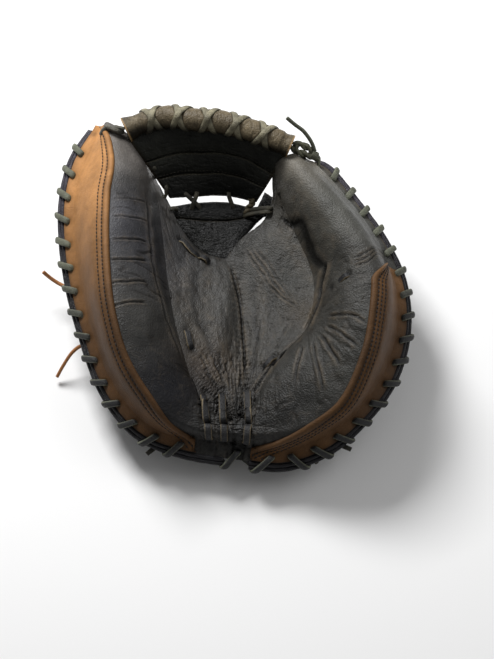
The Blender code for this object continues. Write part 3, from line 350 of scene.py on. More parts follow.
def sweep(path, normals, outline, scale=None):
    """Points and faces of a solid with this outline, as (across, up) pairs, drawn along the path."""
    path, normals = np.asarray(path, float), np.asarray(normals, float)
    scale = np.ones(len(path)) if scale is None else np.asarray(scale)
    t = tangents(path)
    across = unit(np.cross(t, normals))
    up = unit(np.cross(across, t))
    outline = np.asarray(outline, float)
    rings = (path[:, None] + (outline[None, :, :1] * across[:, None] + outline[None, :, 1:] * up[:, None])
             * scale[:, None, None])
    rows, cols = rings.shape[:2]
    points = np.concatenate([rings.reshape(-1, 3), path[:1], path[-1:]])
    faces = [tuple(f) for f in grid_faces(rows, cols, closed=True).tolist()]
    start, end, last = rows * cols, rows * cols + 1, (rows - 1) * cols
    faces += [(start, (j + 1) % cols, j) for j in range(cols)]
    faces += [(end, last + j, last + (j + 1) % cols) for j in range(cols)]
    return points, faces


def ring_outline(radius, sides=12):
    """Round outline."""
    a = 2 * np.pi * np.arange(sides) / sides
    return np.stack([radius * np.cos(a), radius * np.sin(a)], axis=1)


def strap_outline(width, thick, round_by=0.35):
    """Outline of a flat lace with softly rounded corners."""
    a = 2 * np.pi * (np.arange(16) + 0.5) / 16
    power = round_by * 1.6
    return np.stack([0.5 * width * np.sign(np.cos(a)) * np.abs(np.cos(a)) ** power,
                     0.5 * thick * np.sign(np.sin(a)) * np.abs(np.sin(a)) ** power], axis=1)


def gathered(parts):
    """One list of points, faces and colours from several."""
    points, faces, tints, first = [], [], [], 0
    for p, f, c in parts:
        points.append(p)
        faces += [tuple(i + first for i in face) for face in f]
        tints.append(np.broadcast_to(np.asarray(c, float), (len(p), 3)))
        first += len(p)
    return np.concatenate(points), faces, np.concatenate(tints)


def joined(name, parts, look):
    """One object from several solids."""
    points, faces, tints = gathered(parts)
    return piece(name, points, faces, look, tints)


def surface(name, roughness, grain, depth, mottle, crackle=0.0, metallic=0.0, sheen=0.0,
            specular=0.4):
    """Principled material that takes its colour from the mesh and adds mottling, gloss change and grain.
    Grain is the size of the surface's cells and depth their height, both in millimetres. Crackle is the
    strength of the fine, rubbed wrinkles between them."""
    m = bpy.data.materials.new(name)
    m.use_nodes = True
    nodes, links = m.node_tree.nodes, m.node_tree.links
    shader = nodes["Principled BSDF"]
    shader.inputs["Metallic"].default_value = metallic
    shader.inputs["Specular IOR Level"].default_value = specular
    shader.inputs["Sheen Weight"].default_value = sheen
    shader.inputs["Sheen Roughness"].default_value = 0.5
    where = nodes.new("ShaderNodeTexCoord")
    tint = nodes.new("ShaderNodeAttribute")
    tint.attribute_name = "tint"

    def texture(kind, scale, **values):
        """Texture node over the object's own coordinates."""
        node = nodes.new(kind)
        node.inputs["Scale"].default_value = scale
        for key, value in values.items():
            node.inputs[key].default_value = value
        links.new(where.outputs["Object"], node.inputs["Vector"])
        return node

    def feed(node, values):
        """Sets each input of a node to a number, or links it to a socket."""
        for socket, value in zip(node.inputs, values):
            if isinstance(value, (int, float)):
                socket.default_value = value
            else:
                links.new(value, socket)
        return node.outputs[0]

    def combine(operation, *values):
        """Result of a sum or product."""
        node = nodes.new("ShaderNodeMath")
        node.operation = operation
        return feed(node, values)

    def ranged(source, low, high, reach=1.0):
        """Source from 0 to reach turned into low to high."""
        return feed(nodes.new("ShaderNodeMapRange"), (source, 0.0, reach, low, high))

    patches = texture("ShaderNodeTexNoise", 60.0, Detail=6.0, Roughness=0.65).outputs["Fac"]
    fibres = texture("ShaderNodeTexNoise", 1000.0 / grain, Detail=4.0, Roughness=0.7).outputs["Fac"]
    cells = texture("ShaderNodeTexVoronoi", 700.0 / grain).outputs["Distance"]
    shade = ranged(patches, 1 - mottle, 1 + mottle)
    fine = ranged(fibres, 1 - 0.5 * mottle, 1 + 0.5 * mottle)
    both = combine("MULTIPLY", shade, fine)
    warp = texture("ShaderNodeTexNoise", 150.0, Detail=3.0)
    shift = nodes.new("ShaderNodeVectorMath")
    shift.operation = "MULTIPLY_ADD"
    shift.inputs[1].default_value = (0.008, 0.008, 0.008)
    links.new(warp.outputs["Color"], shift.inputs[0])
    links.new(where.outputs["Object"], shift.inputs[2])
    wrinkles = nodes.new("ShaderNodeTexVoronoi")
    wrinkles.feature = "DISTANCE_TO_EDGE"
    wrinkles.inputs["Scale"].default_value = 430.0
    links.new(shift.outputs["Vector"], wrinkles.inputs["Vector"])
    line = ranged(wrinkles.outputs["Distance"], 1.0, 0.0, reach=0.16)
    broken = combine("MULTIPLY", line, patches)
    rubbed = combine("MULTIPLY_ADD", broken, 0.9 * crackle, both)
    colour = nodes.new("ShaderNodeVectorMath")
    colour.operation = "SCALE"
    links.new(tint.outputs["Color"], colour.inputs[0])
    links.new(rubbed, colour.inputs["Scale"])
    links.new(colour.outputs["Vector"], shader.inputs["Base Color"])
    gloss = ranged(patches, roughness - 0.1, min(roughness + 0.1, 1.0))
    links.new(gloss, shader.inputs["Roughness"])
    height = combine("ADD", cells, fibres)
    pressed = combine("MULTIPLY_ADD", broken, -1.4 * crackle, height)
    bump = nodes.new("ShaderNodeBump")
    bump.inputs["Strength"].default_value = 1.0
    bump.inputs["Distance"].default_value = depth * MM
    links.new(pressed, bump.inputs["Height"])
    links.new(bump.outputs["Normal"], shader.inputs["Normal"])
    return m


def palette():
    """The mitt's materials by slot name."""
    return {
        "black_leather": surface("black_leather", 0.42, 0.9, 0.28, 0.35, crackle=0.4, specular=0.22),
        "tan_leather": surface("tan_leather", 0.6, 0.8, 0.2, 0.3, crackle=0.15, specular=0.2),
        "grey_lace": surface("grey_lace", 0.6, 0.7, 0.3, 0.35, crackle=0.5),
        "tan_lace": surface("tan_lace", 0.6, 0.7, 0.3, 0.3, crackle=0.4),
        "thread": surface("thread", 0.75, 0.35, 0.2, 0.3),
        "felt": surface("felt", 0.95, 0.6, 0.35, 0.15, sheen=0.3),
        "lining": surface("lining", 0.7, 0.8, 0.15, 0.25),
        "fleece": surface("fleece", 1.0, 0.4, 0.5, 0.35, sheen=0.4),
        "nickel": surface("nickel", 0.32, 0.5, 0.02, 0.08, metallic=1.0),
    }


def bend(obj):
    """Bakes the piece's placement into its mesh."""
    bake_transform(obj)
    return obj


def ride(obj, body):
    """The piece moves with one body."""
    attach(obj, body)
    return obj


# ---------------------------------------------------------------- camera, light and floor
CAMERA_DISTANCE, CAMERA_TILT, SEEN_HEIGHT = 1600.0, 60, 512.0  # tilt in degrees above level
CAMERA_TARGET = np.array([9.2, -65.2, 50.0])
LAMPS = [("key", (-0.45, 0.7, 0.95), 21.0, 0.45), ("fill", (0.9, 0.1, 1.0), 4.0, 0.8)]  # place, watts, size
FLOOR_REACH = 6.0


def studio():
    """Camera at the mitt's viewing angle, soft light, pale floor."""
    scene = bpy.context.scene
    tilt = math.radians(CAMERA_TILT)
    back = np.array([0.0, -math.cos(tilt), math.sin(tilt)])
    data = bpy.data.cameras.new("camera")
    data.sensor_width = 36.0
    data.lens = 36.0 * CAMERA_DISTANCE / SEEN_HEIGHT
    data.clip_end = 20.0
    camera = bpy.data.objects.new("camera", data)
    camera.location = place(CAMERA_TARGET + CAMERA_DISTANCE * back)
    camera.rotation_euler = (math.radians(90 - CAMERA_TILT), 0, 0)
    scene.collection.objects.link(camera)
    scene.camera = camera
    scene.view_settings.view_transform = "Standard"
    world = bpy.data.worlds.new("studio")
    scene.world = world
    world.use_nodes = True
    sky = world.node_tree.nodes["Background"]
    sky.inputs["Color"].default_value = (1, 1, 1, 1)
    sky.inputs["Strength"].default_value = 0.22
    for name, where, energy, size in LAMPS:
        light = bpy.data.lights.new(name, "AREA")
        light.energy, light.size = energy, size
        lamp = bpy.data.objects.new(name, light)
        lamp.location = where
        lamp.rotation_euler = (-lamp.location).to_track_quat("-Z", "Y").to_euler()
        scene.collection.objects.link(lamp)
    r = FLOOR_REACH
    floor_mesh = bpy.data.meshes.new("floor")
    floor_mesh.from_pydata([(-r, -r, 0), (r, -r, 0), (r, r, 0), (-r, r, 0)], [], [(0, 1, 2, 3)])
    floor = bpy.data.objects.new("floor", floor_mesh)
    paper = bpy.data.materials.new("floor")
    paper.use_nodes = True
    shader = paper.node_tree.nodes["Principled BSDF"]
    shader.inputs["Base Color"].default_value = (0.85, 0.85, 0.85, 1)
    shader.inputs["Roughness"].default_value = 0.8
    floor_mesh.materials.append(paper)
    scene.collection.objects.link(floor)


# The second olive is the lace's shaded copy, painted on the whip stitches as shade towards the heel.
OLIVE, OLIVE_SHADED, TAN_LACE_TONE = srgb(86, 88, 74), srgb(22, 22, 23), srgb(150, 98, 52)


def loose_ends(looks):
    """The three free lace ends."""
    bodies = {"tail_index": "finger_side"}
    for name, (route, slot) in TAILS.items():
        path = through(route, 60)
        t = tangents(path)
        normals = unit(np.cross(t, (0.3, 0.2, 1.0)))
        outline = strap_outline(2 * TAIL_RADIUS, 2 * TAIL_RADIUS * 0.8, 0.5)
        points, faces = sweep(path, normals, outline)
        tone = OLIVE if slot == "grey_lace" else TAN_LACE_TONE
        obj = joined(name + "_end", [(points, faces, tone)], looks[slot])
        ride(obj, bodies.get(name, "thumb_side"))
        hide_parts(name)


# ---------------------------------------------------------------- palm leather
# Creases pressed into the palm: half width, depth, and the line's points in x and y.
# The main folds are listed one by one; the rest are families that spring from the places where the mitt
# bends.
# Each crease's depth also darkens the palm's colour as painted shade; the wide, shallow main folds are mostly
# painted shade along the two valleys and either side of the oval bulge.
MAIN_FOLDS = [
    (2.6, 2.2, [(70, -20), (65, -45), (55, -70)]),
    (2.2, 1.3, [(55, -70), (30, -95), (10, -120)]),
    (2.4, 1.0, [(35, 35), (50, 20), (60, -5), (70, -25)]),
    (8.0, 0.7, [(35, 35), (50, 20), (60, -5), (70, -25)]),
    (1.5, 0.8, [(-70, 45), (-66, 0), (-60, -40), (-40, -100)]),
    (6.0, 0.45, [(-65, 60), (-60, 0), (-50, -60)]),
    (6.5, 0.5, [(-30, 0), (-30, -45), (-5, -110)]),
    (5.5, 0.45, [(12, -5), (16, -55), (15, -105)]),
]
KNUCKLE = (55.0, -65.0)  # where the finger pad hinges: its folds ray out from here
# Bearing of each fold, and its first and last reach
RAYS = [(-15, 16, 46), (-40, 18, 50), (-62, 20, 52), (-80, 24, 66), (-100, 24, 60)]
THUMB_FOLDS = [25, 8, -12, -30, -50, -68]  # y of the folds across the thumb's pad
HEEL_RAYS = [(-28, 34, 66), (-20, 36, 62), (-12, 30, 56), (2, 30, 54)]
POCKET_LINES = 3  # soft folds that run from the notch down into the pocket


def creases():
    """Every crease as half width, depth and line."""
    found = list(MAIN_FOLDS)
    for k, (bearing, first, last) in enumerate(RAYS):
        a = math.radians(bearing)
        line = [(KNUCKLE[0] + r * math.cos(a), KNUCKLE[1] + r * math.sin(a) - 0.004 * r * r * math.cos(a))
                for r in np.linspace(first, last, 4)]
        found.append((1.6, 1.4 - 0.1 * (k % 2), line))
    for k, y in enumerate(THUMB_FOLDS):
        line = [(-96, y - 2), (-82, y + 2), (-67, y + 8)]
        found.append((1.0 + 0.1 * min(k, 3), 0.6 + 0.3 * min(k, 3), line))
    for bearing, first, last in HEEL_RAYS:
        a = math.radians(90 - bearing)
        line = [(HEEL_POINT[0] + r * math.cos(a), HEEL_POINT[1] + r * math.sin(a)) for r in (first, last)]
        found.append((1.3, 1.1, line))
    for k in range(POCKET_LINES):
        line = [(7 + 4 * k, 14), (20 + 4 * k, -8), (30 + 4 * k, -26), (48, -46)]
        found.append((1.2, 1.1 - 0.2 * k, line))
    for k in range(3):
        line = [(90, -33 - 3 * k), (103, -26 - 4 * k), (115, -8 - 5 * k)]
        found.append((1.3, 1.1, line))
    return found


SEAM = (1.7, 2.0, [(-5, 5), (5, -50), (8, -105)])  # sewn line up the middle of the pocket
HEEL_POINT = (3.0, -142.0)
# The palm's tones: leather in general, and soft regions as tone, centre, reach and strength.
# Most regions are painted light or shade; two are brown wear.
PALM_BASE = (58, 57, 54)
PALM_REGIONS = [
    ((120, 115, 110), (-85, 85), 32, 1.0),  # painted light on the tip of the thumb
    ((120, 115, 105), (60, 60), 26, 1.0),  # painted light on the tip of the index finger
    ((80, 80, 75), (85, 20), 40, 0.8),  # painted light on the top of the finger pad
    ((70, 70, 75), (-82, 0), 45, 0.8),  # painted light on the thumb pad
    ((70, 60, 50), (-22, -95), 24, 0.8),  # brown wear above the heel
    ((60, 50, 35), (52, -50), 14, 0.7),  # brown wear in the finger pad's fold
    ((30, 30, 30), (-25, 18), 24, 0.7),  # shade at the foot of the web
    ((35, 35, 30), (38, -20), 22, 0.7),  # shade in the pocket's finger side
    ((35, 35, 30), (75, -110), 50, 0.6),  # painted shade on the lower finger pad
    ((15, 15, 20), (-50, -125), 38, 1.0),  # painted shade beside the heel, thumb side
    ((20, 20, 20), (40, -140), 30, 0.7),  # and finger side
    ((20, 20, 20), (4, -146), 20, 1.0),  # painted shade at the heel
]
WORN = (104, 92, 76)  # bare hide where the finish has rubbed off
WORN_SHARE = 0.4


def stroke(xy, width, depth, route, ends=0.12):
    """Depth of a crease at each point, and its raised, worn shoulders."""
    line = through([(x, y, 0) for x, y in route], 10 * len(route))[:, :2]
    low, high = line.min(axis=0) - 5 * width, line.max(axis=0) + 5 * width
    near = np.all((xy > low) & (xy < high), axis=1)
    groove, shoulder = np.zeros(len(xy)), np.zeros(len(xy))
    p = xy[near]
    if len(p) == 0:
        return groove, shoulder
    best, where = np.full(len(p), 1e9), np.zeros(len(p))
    for k, (a, b) in enumerate(zip(line[:-1], line[1:])):
        d = b - a
        f = np.clip(((p - a) @ d) / max(d @ d, 1e-9), 0, 1)
        distance = np.linalg.norm(p - a - f[:, None] * d, axis=1)
        closer = distance < best
        best[closer] = distance[closer]
        where[closer] = (k + f[closer]) / (len(line) - 1)
    fade = smooth(where, 0, ends) * smooth(1 - where, 0, ends)
    groove[near] = depth * fade * np.exp(-(best / (0.42 * width)) ** 2)
    shoulder[near] = depth * fade * np.exp(-((best - 1.2 * width) / (0.65 * width)) ** 2)
    return groove, shoulder


def seam_x(y):
    """x of the seam at y."""
    return np.interp(y, *np.array(SEAM[2][::-1]).T[::-1])


def relief(points, t, s, finger):
    """Height of the palm's folds and wrinkles over its base, how deep each point lies in a groove, and its
    wear. The groove depth sets the painted shade in the folds, seam and wrinkles. t is each point's place
    across the half, and finger is 1 on the finger half."""
    xy = points[:, :2] + 0.9 * np.stack([noise(points[:, :2] / 9, 3), noise(points[:, :2] / 9, 4)], axis=1)
    x, y = points[:, 0], points[:, 1]
    height, groove, worn = np.zeros(len(points)), np.zeros(len(points)), np.zeros(len(points))
    for width, depth, route in creases():
        g, shoulder = stroke(xy, width, depth, route)
        height += 0.3 * shoulder - g
        groove += g
        worn += shoulder
    g, shoulder = stroke(points[:, :2] + 0.3 * (xy - points[:, :2]), *SEAM, ends=0.16)
    pucker = np.exp(-((x - seam_x(y)) / 6.5) ** 2) * smooth(t, 0.86, 0.95)
    pucker *= smooth(y, -128, -105) * smooth(-y, -4, 20)
    ridges = np.sin(y * 2 * np.pi / 4.3 + 2.2 * noise(points[:, :2] / 6, 12))
    height += 0.35 * shoulder - g + 0.45 * pucker * ridges
    groove += g + 0.5 * pucker * np.maximum(-ridges, 0)
    worn += 0.7 * shoulder
    # Oval bulge beside the seam, and the soft swell of the pocket on its other side
    oval = np.exp(-((x + 9 - 0.06 * (y + 50)) / 10.5) ** 2 - ((y + 48) / 42) ** 4)
    height += 4.6 * oval + 1.2 * np.exp(-((x - 18) / 9) ** 2 - ((y + 45) / 35) ** 2)
    pocket = smooth(t, 0.68, 0.78)
    # Wrinkles that fan out from the heel laces
    angle = np.arctan2(x - HEEL_POINT[0], y - HEEL_POINT[1])
    reach = np.hypot(x - HEEL_POINT[0], y - HEEL_POINT[1])
    fan = lines(angle * 21, reach / 34, 20) + 0.8 * lines(angle * 38, reach / 22, 24)
    amount = pocket * (0.45 + 0.7 * smooth(-reach, -85, -20) + 0.2 * noise(points[:, :2] / 25, 5))
    streaks = lines(angle * 30, reach / 26, 28, 0.08) + lines(angle * 17, reach / 18, 29, 0.07)
    # Wrinkles across the thumb's and fingers' pads
    lobe = smooth(t, 0.32, 0.4) * smooth(-t, -0.74, -0.66)
    across = lines(x / 26, y / 6.5, 31) * smooth(noise(points[:, :2] / 22, 8), -0.1, 0.5)
    round_angle = np.arctan2(x - KNUCKLE[0], -(y - KNUCKLE[1]))
    round_reach = np.hypot(x - KNUCKLE[0], y - KNUCKLE[1])
    rays = lines(round_angle * 7.5, round_reach / 30, 36) * smooth(-y, 10, 40)
    across = np.where(finger > 0.5, 0.5 * across * smooth(y, -40, -20) + 0.8 * rays, across)
    fine = amount * fan + 0.6 * lobe * across
    heel = smooth(-y, 112, 128) * np.exp(-(x / 26) ** 2)
    fine = fine + 1.1 * heel * lines(y / 30, x / 4.2, 33, 0.16) + 0.7 * heel * lines(x / 9, y / 3.5, 34)
    worn += 0.7 * heel * lines(y / 22, x / 5.1, 35, 0.08)
    height -= 1.3 * fine
    groove += fine
    worn += 0.5 * fine + 0.9 * pocket * streaks * (0.5 + 0.5 * smooth(-reach, -110, -30))
    worn += 0.5 * lobe * lines(x / 15, y / 9, 37, 0.05) + 0.4 * lobe * lines(y / 15, x / 12, 38, 0.05)
    height += 0.7 * smooth(t, 0.12, 0.3) * noise(points / 17, 40) + 0.28 * noise(points / 6, 41)
    height -= 1.4 * smooth(t, 0.97, 1.0) * smooth(y, -10, 15)
    bare = np.where(finger > 0.5, smooth(s, 6.3, 6.8), 0)
    height += bare * 3.2 * np.exp(-((t - 0.13) / 0.06) ** 2)
    pale = bare * smooth(-t, -0.03, -0.01)
    worn += 2.2 * pale
    return height, groove, worn


def palm_tint(points, groove, worn):
    """Colour of the palm: paler and browner where it is worn, painted light and shade from the regions, and
    painted shade in the folds.
    """
    tint = np.tile(srgb(*PALM_BASE), (len(points), 1))
    for tone, (x, y), reach, strength in PALM_REGIONS:
        near = strength * np.exp(-((points[:, 0] - x) ** 2 + (points[:, 1] - y) ** 2) / reach ** 2)[:, None]
        tint = tint * (1 - near) + srgb(*tone) * near
    patches = layered(points / 14, 50)
    tint = tint * (1 + 0.25 * patches)[:, None]
    rubbed = np.clip(worn * 0.55 * (0.7 + 0.6 * layered(points / 4, 55)), 0, 1)[:, None]
    tint = 0.8 * tint * (1 - WORN_SHARE * rubbed) + srgb(*WORN) * WORN_SHARE * rubbed
    shade = np.clip(groove * 0.8, 0, 0.85)[:, None]
    return tint * (1 - shade)


def vertex_normals(points, faces):
    """Normals of a quad mesh at its points, pointing up."""
    corner = [points[faces[:, k]] for k in range(4)]
    n = np.cross(corner[2] - corner[0], corner[3] - corner[1])
    total = np.zeros_like(points)
    for k in range(4):
        np.add.at(total, faces[:, k], n)
    return unit(total)


def palm_leather(looks):
    """The palm: one sheet over both halves, which meet along the seam, with every fold in its mesh."""
    seam_rows, columns = 170, 150
    ts = np.linspace(0, 1, columns)
    thumb_s = np.concatenate([np.linspace(0, 5, 190)[:-1], np.linspace(5, 9, seam_rows)])
    finger_s = np.concatenate([np.linspace(0, 6, seam_rows), np.linspace(6, 10, 150)[1:]])
    grids = [sheet_grid(palm_base, half, s, ts, PALM_TOP)
             for half, s in ((THUMB, thumb_s), (FINGER, finger_s))]
    sizes = [len(s) * columns for s in (thumb_s, finger_s)]
    points = np.concatenate([g.reshape(-1, 3) for g in grids])
    across = np.concatenate([np.tile(ts, len(thumb_s)), np.tile(ts, len(finger_s))])
    finger = np.concatenate([np.zeros(sizes[0]), np.ones(sizes[1])])
    station = np.concatenate([np.repeat(thumb_s, columns), np.repeat(finger_s, columns)])
    thumb_index = np.arange(sizes[0]).reshape(-1, columns)
    finger_index = sizes[0] + np.arange(sizes[1]).reshape(-1, columns)
    keep = np.arange(len(points))
    pairs = list(zip(thumb_index[-seam_rows:, -1], finger_index[:seam_rows, -1][::-1]))
    pairs += list(zip(thumb_index[-1, :-1], finger_index[0, :-1]))
    for a, b in pairs:
        points[a] = points[b] = 0.5 * (points[a] + points[b])
        keep[b] = a
    faces = np.concatenate([grid_faces(*thumb_index.shape), grid_faces(*finger_index.shape, first=sizes[0])])
    faces = keep[faces]
    used = np.unique(faces)
    renumber = np.zeros(len(points), int)
    renumber[used] = np.arange(len(used))
    faces, points = renumber[faces], points[used]
    across, finger, station = across[used], finger[used], station[used]
    normals = vertex_normals(points, faces)
    normals *= np.sign(np.where(np.abs(normals[:, 2:]) > 0.02, normals[:, 2:], 1))
    height, groove, worn = relief(points, across, station, finger)
    tint = palm_tint(points, groove, worn)
    for half, stations in rim_holes():
        for s in stations:
            hole = hole_point(half, s, PALM_TOP)
            near = np.exp(-np.sum((points - hole) ** 2, axis=1) / 3.2 ** 2)
            height -= 1.0 * near
            # Painted shade in the dimple round each hole.
            tint = tint * (1 - 0.7 * near)[:, None]
    for stops in PALM_LACES.values():
        for half, s, t in stops:
            hole = spot(HALVES[half], s, t, PALM_TOP)
            near = np.exp(-np.sum((points - hole) ** 2, axis=1) / 3.0 ** 2)
            height -= 1.3 * near
            # Painted shade in the dimple round each hole.
            tint = tint * (1 - 0.75 * near)[:, None]
    points = points + height[:, None] * normals
    obj = piece("palm_shell", points, faces, looks["black_leather"], tint, fix=False)
    obj.data.shade_smooth()
    if obj.data.polygons[len(obj.data.polygons) // 2].normal.z < 0:
        obj.data.flip_normals()
    thicken = obj.modifiers.new("leather", "SOLIDIFY")
    thicken.thickness = 1.9 * MM
    thicken.offset = -1
    bend(obj)
    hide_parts("palm_leather")


# ---------------------------------------------------------------- lacing round the rim
RIM_THUMB, RIM_FINGER = (0.25, 7.95), (1.15, 9.6)
HEEL_THUMB, HEEL_FINGER = (8.5, 9.0), (0.0, 0.75)


def stitch_stations(half, first, last):
    """Stations one pitch apart along the laced edge."""
    dense = np.linspace(first, last, 300)
    points = curve(half["edge"], dense)
    length = np.concatenate([[0], np.cumsum(np.linalg.norm(np.diff(points, axis=0), axis=1))])
    count = int(round(length[-1] / RIM_PITCH))
    return np.interp(np.linspace(0, length[-1], count + 1), length, dense)


def rim_holes():
    """Every whipped hole, as a half and its stations."""
    return [(THUMB, stitch_stations(THUMB, *RIM_THUMB)), (FINGER, stitch_stations(FINGER, *RIM_FINGER)),
            (THUMB, stitch_stations(THUMB, *HEEL_THUMB)), (FINGER, stitch_stations(FINGER, *HEEL_FINGER))]


def rim_axes(half, s):
    """Edge points, tangents, and outward and normal directions of the flange at stations s."""
    s = np.asarray(s, float)
    point = curve(half["edge"], s)
    ahead, behind = np.minimum(s + 0.02, half["last"]), np.maximum(s - 0.02, 0)
    along = unit(curve(half["edge"], ahead) - curve(half["edge"], behind))
    along = np.where(np.abs(s - half["heel"])[..., None] < 1e-6, np.array([1.0, 0, 0]), along)
    out = -section(half, s)["lean"]
    out = unit(out - np.sum(out * along, axis=-1, keepdims=True) * along)
    normal = np.cross(out, along)
    return point, along, out, normal * np.sign(normal[..., 2:] + 1e-9)


def hole_point(half, s, lift):
    """Centre of a whipped hole, lift above the flange's middle."""
    point, _, out, normal = rim_axes(half, np.array([s]))
    return (point - HOLE_IN * out + lift * normal)[0]


# One whip stitch: share of the way to the next hole, outward, height and the lace's facing (out, up)
WHIP = [
    (0.00, -HOLE_IN, -0.5, (-1, 0)), (0.03, -HOLE_IN - 0.2, "top_in", (-1, 1)), (0.1, -3.8, "top", (0, 1)),
    (0.27, 1.8, "top", (0.25, 1)), (0.4, 6.0, 4.0, (1, 1)), (0.48, 7.4, 0.6, (1, 0)),
    (0.52, 5.6, -3.1, (1, -1)), (0.6, 2.4, "low", (0, -1)), (0.92, -2.6, "low", (0, -1)),
    (0.98, -4.9, "low", (-0.5, -1)), (1.00, -HOLE_IN, -0.5, (-1, 0)),
]


def top_height(half, s):
    """Height of the upper leather's face at the rim: the trim's where there is trim, else the palm's."""
    if half is THUMB:
        return TRIM_TOP - 1.9 * smooth(s, 8.0, 8.6)
    return TRIM_TOP - 1.9 * (1 - smooth(s, 0.3, 0.8)) - 1.9 * smooth(s, 5.95, 6.35)


def slant(half, s):
    """How far each whip stitch leans along the rim, 1 being the most."""
    if half is THUMB:
        return float(0.5 + 0.5 * smooth(s, 0.3, 2.2))
    return float(1.1 - 0.55 * smooth(s, 4.0, 6.5))


def whip_stitches(half, stations):
    """Solids of the lace whipped through the holes, paler where the hide's edge shows, with painted light
    towards the web and painted shade towards the heel.
    """
    parts = []
    outline = strap_outline(5.0, 2.8, 0.55)
    for k, (here, there) in enumerate(zip(stations[:-1], stations[1:])):
        top = float(top_height(half, here)) + 1.1
        heights = {"top": top, "top_in": top - 1.1, "low": BACK_LOW - 1.1}
        path, normals = [], []
        lean = slant(half, here)
        for share, out_by, height, (face_out, face_up) in WHIP:
            share = share * lean if share < 0.55 else 1 - (1 - share) * (1 - 0.52 * lean) / 0.48
            point, _, out, normal = (a[0] for a in rim_axes(half, np.array([here + share * (there - here)])))
            path.append(point + out_by * out + heights.get(height, height) * normal)
            normals.append(unit(face_out * out + face_up * normal))
        steps = np.linspace(0, len(path) - 1, 46)
        dense, facing = curve(path, steps), unit(curve(normals, steps))
        roll = 0.18 * math.sin(k * 2.4)
        side = np.cross(facing, tangents(dense))
        facing = unit(facing + roll * side)
        width = 1 + 0.07 * noise(np.stack([steps * 0.8, np.full(46, k * 3.1)], axis=1), 60)
        points, faces = sweep(dense, facing, outline, width)
        pale = np.abs(np.tile(outline[:, 0], len(dense))) / 2.5
        pale = np.concatenate([smooth(pale, 0.75, 0.98), [0, 0]])
        # Painted light and shade: each stitch is lighter towards the web and darker towards the heel.
        light = smooth(dense[:, 1].mean(), -90, 20) if half is THUMB else smooth(dense[:, 1].mean(), -60, 20)
        flat = OLIVE_SHADED * (1 - light) + OLIVE * light
        tint = flat * (1 - pale)[:, None] + 1.15 * OLIVE * pale[:, None]
        tint = tint * (1 + 0.25 * layered(points / 3, 61))[:, None]
        parts.append((points, faces, tint))
    return parts


# Ends of the rim laces that hang out of the last holes: half, station, and reach along and out
STUBS = {
    "rim_lace_thumb": [(THUMB, 7.5, -5.0, 12.0)],
    "rim_lace_finger": [(FINGER, 2.2, 5.0, 12.0), (FINGER, 1.55, 3.0, 6.5)],
}


def stub(half, s, along_by, out_by):
    """Short end of lace that comes out from under the rim and curls up."""
    point, along, out, normal = (a[0] for a in rim_axes(half, np.array([s])))
    steps = [(0.0, -1.0, -3.4), (0.0, 4.5, -3.6), (0.4, 0.62 * out_by, -2.4), (1.0, out_by, 1.6)]
    path = through([point + f * along_by * along + o * out + lift * normal for f, o, lift in steps], 26)
    facing = np.cross(tangents(path), along)
    points, faces = sweep(path, facing, strap_outline(4.4, 2.6, 0.5), np.linspace(1.0, 0.8, 26))
    return points, faces, srgb(40, 38, 30) * (1 + 0.4 * layered(points / 3, 63))[:, None]


def rim_lacing(looks):
    """The whipped lace on each half and across the heel, which holds the piping."""
    thumb, finger, heel_thumb, heel_finger = (stations for _, stations in rim_holes())
    for name, half, stations, body in (("rim_lace_thumb", THUMB, thumb[::-1], "thumb_side"),
                                       ("rim_lace_finger", FINGER, finger, "finger_side")):
        ends = [stub(*where) for where in STUBS[name]]
        obj = joined(name + "_whip", whip_stitches(half, stations) + ends, looks["grey_lace"])
        ride(obj, body)
        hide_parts(name)
    heel = whip_stitches(THUMB, heel_thumb[::-1]) + whip_stitches(FINGER, heel_finger[::-1])
    obj = joined("heel_edge_whip", heel, looks["grey_lace"])
    bend(obj)
    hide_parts("heel_edge_lace")


def welts(looks):
    """Twin piping cords round the rim, each a rolled strip of leather, with painted light towards the web and
    painted shade towards the heel.
    """
    violet, black = srgb(56, 53, 60), srgb(24, 23, 26)
    for name, half, first, last, body in (("welt_thumb", THUMB, 0.16, 8.75, "thumb_side"),
                                          ("welt_finger", FINGER, 0.25, 9.8, "finger_side")):
        s = np.linspace(first, last, 420)
        point, _, out, normal = rim_axes(half, s)
        parts = []
        for out_by, lift, radius in ((1.2, 1.7, 1.75), (4.5, 1.2, 1.85)):
            path = point + out_by * out + lift * normal
            scale = 1 + 0.08 * noise(np.stack([s * 9, np.full(len(s), out_by)], axis=1), 70)
            points, faces = sweep(path, normal, ring_outline(radius, 12), scale)
            # Painted light and shade: violet where light falls towards the web, black towards the heel.
            light = smooth(np.repeat(path[:, 1], 12), -20, 60)
            light = np.concatenate([light, light[:1], light[-1:]])[:, None]
            tint = (black * (1 - light) + violet * light) * (1 + 0.3 * layered(points / 4, 71))[:, None]
            parts.append((points, faces, tint))
        obj = joined(name + "_piping", parts, looks["black_leather"])
        ride(obj, body)
        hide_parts(name)


# ---------------------------------------------------------------- trims
TRIM_LIT, TRIM_SHADED = (170, 122, 74), (76, 52, 28)  # painted light towards the web, painted shade towards the heel
TRIM_FADE = (-90, 90)  # y over which one turns to the other

# t of each trim's inner edge where it is full, and the stations over which it narrows to its rounded ends:
# first station, end of the first rounding, start and end of the second
TRIM_SHAPE = {"thumb": (0.35, 0.0, 0.5, 6.6, 8.2), "finger": (0.36, 0.3, 2.8, 5.6, 6.2)}
TRIM_TIP, TRIM_POINT = 0.55, 0.05  # share of the full width left at a blunt tip and at a pointed heel end


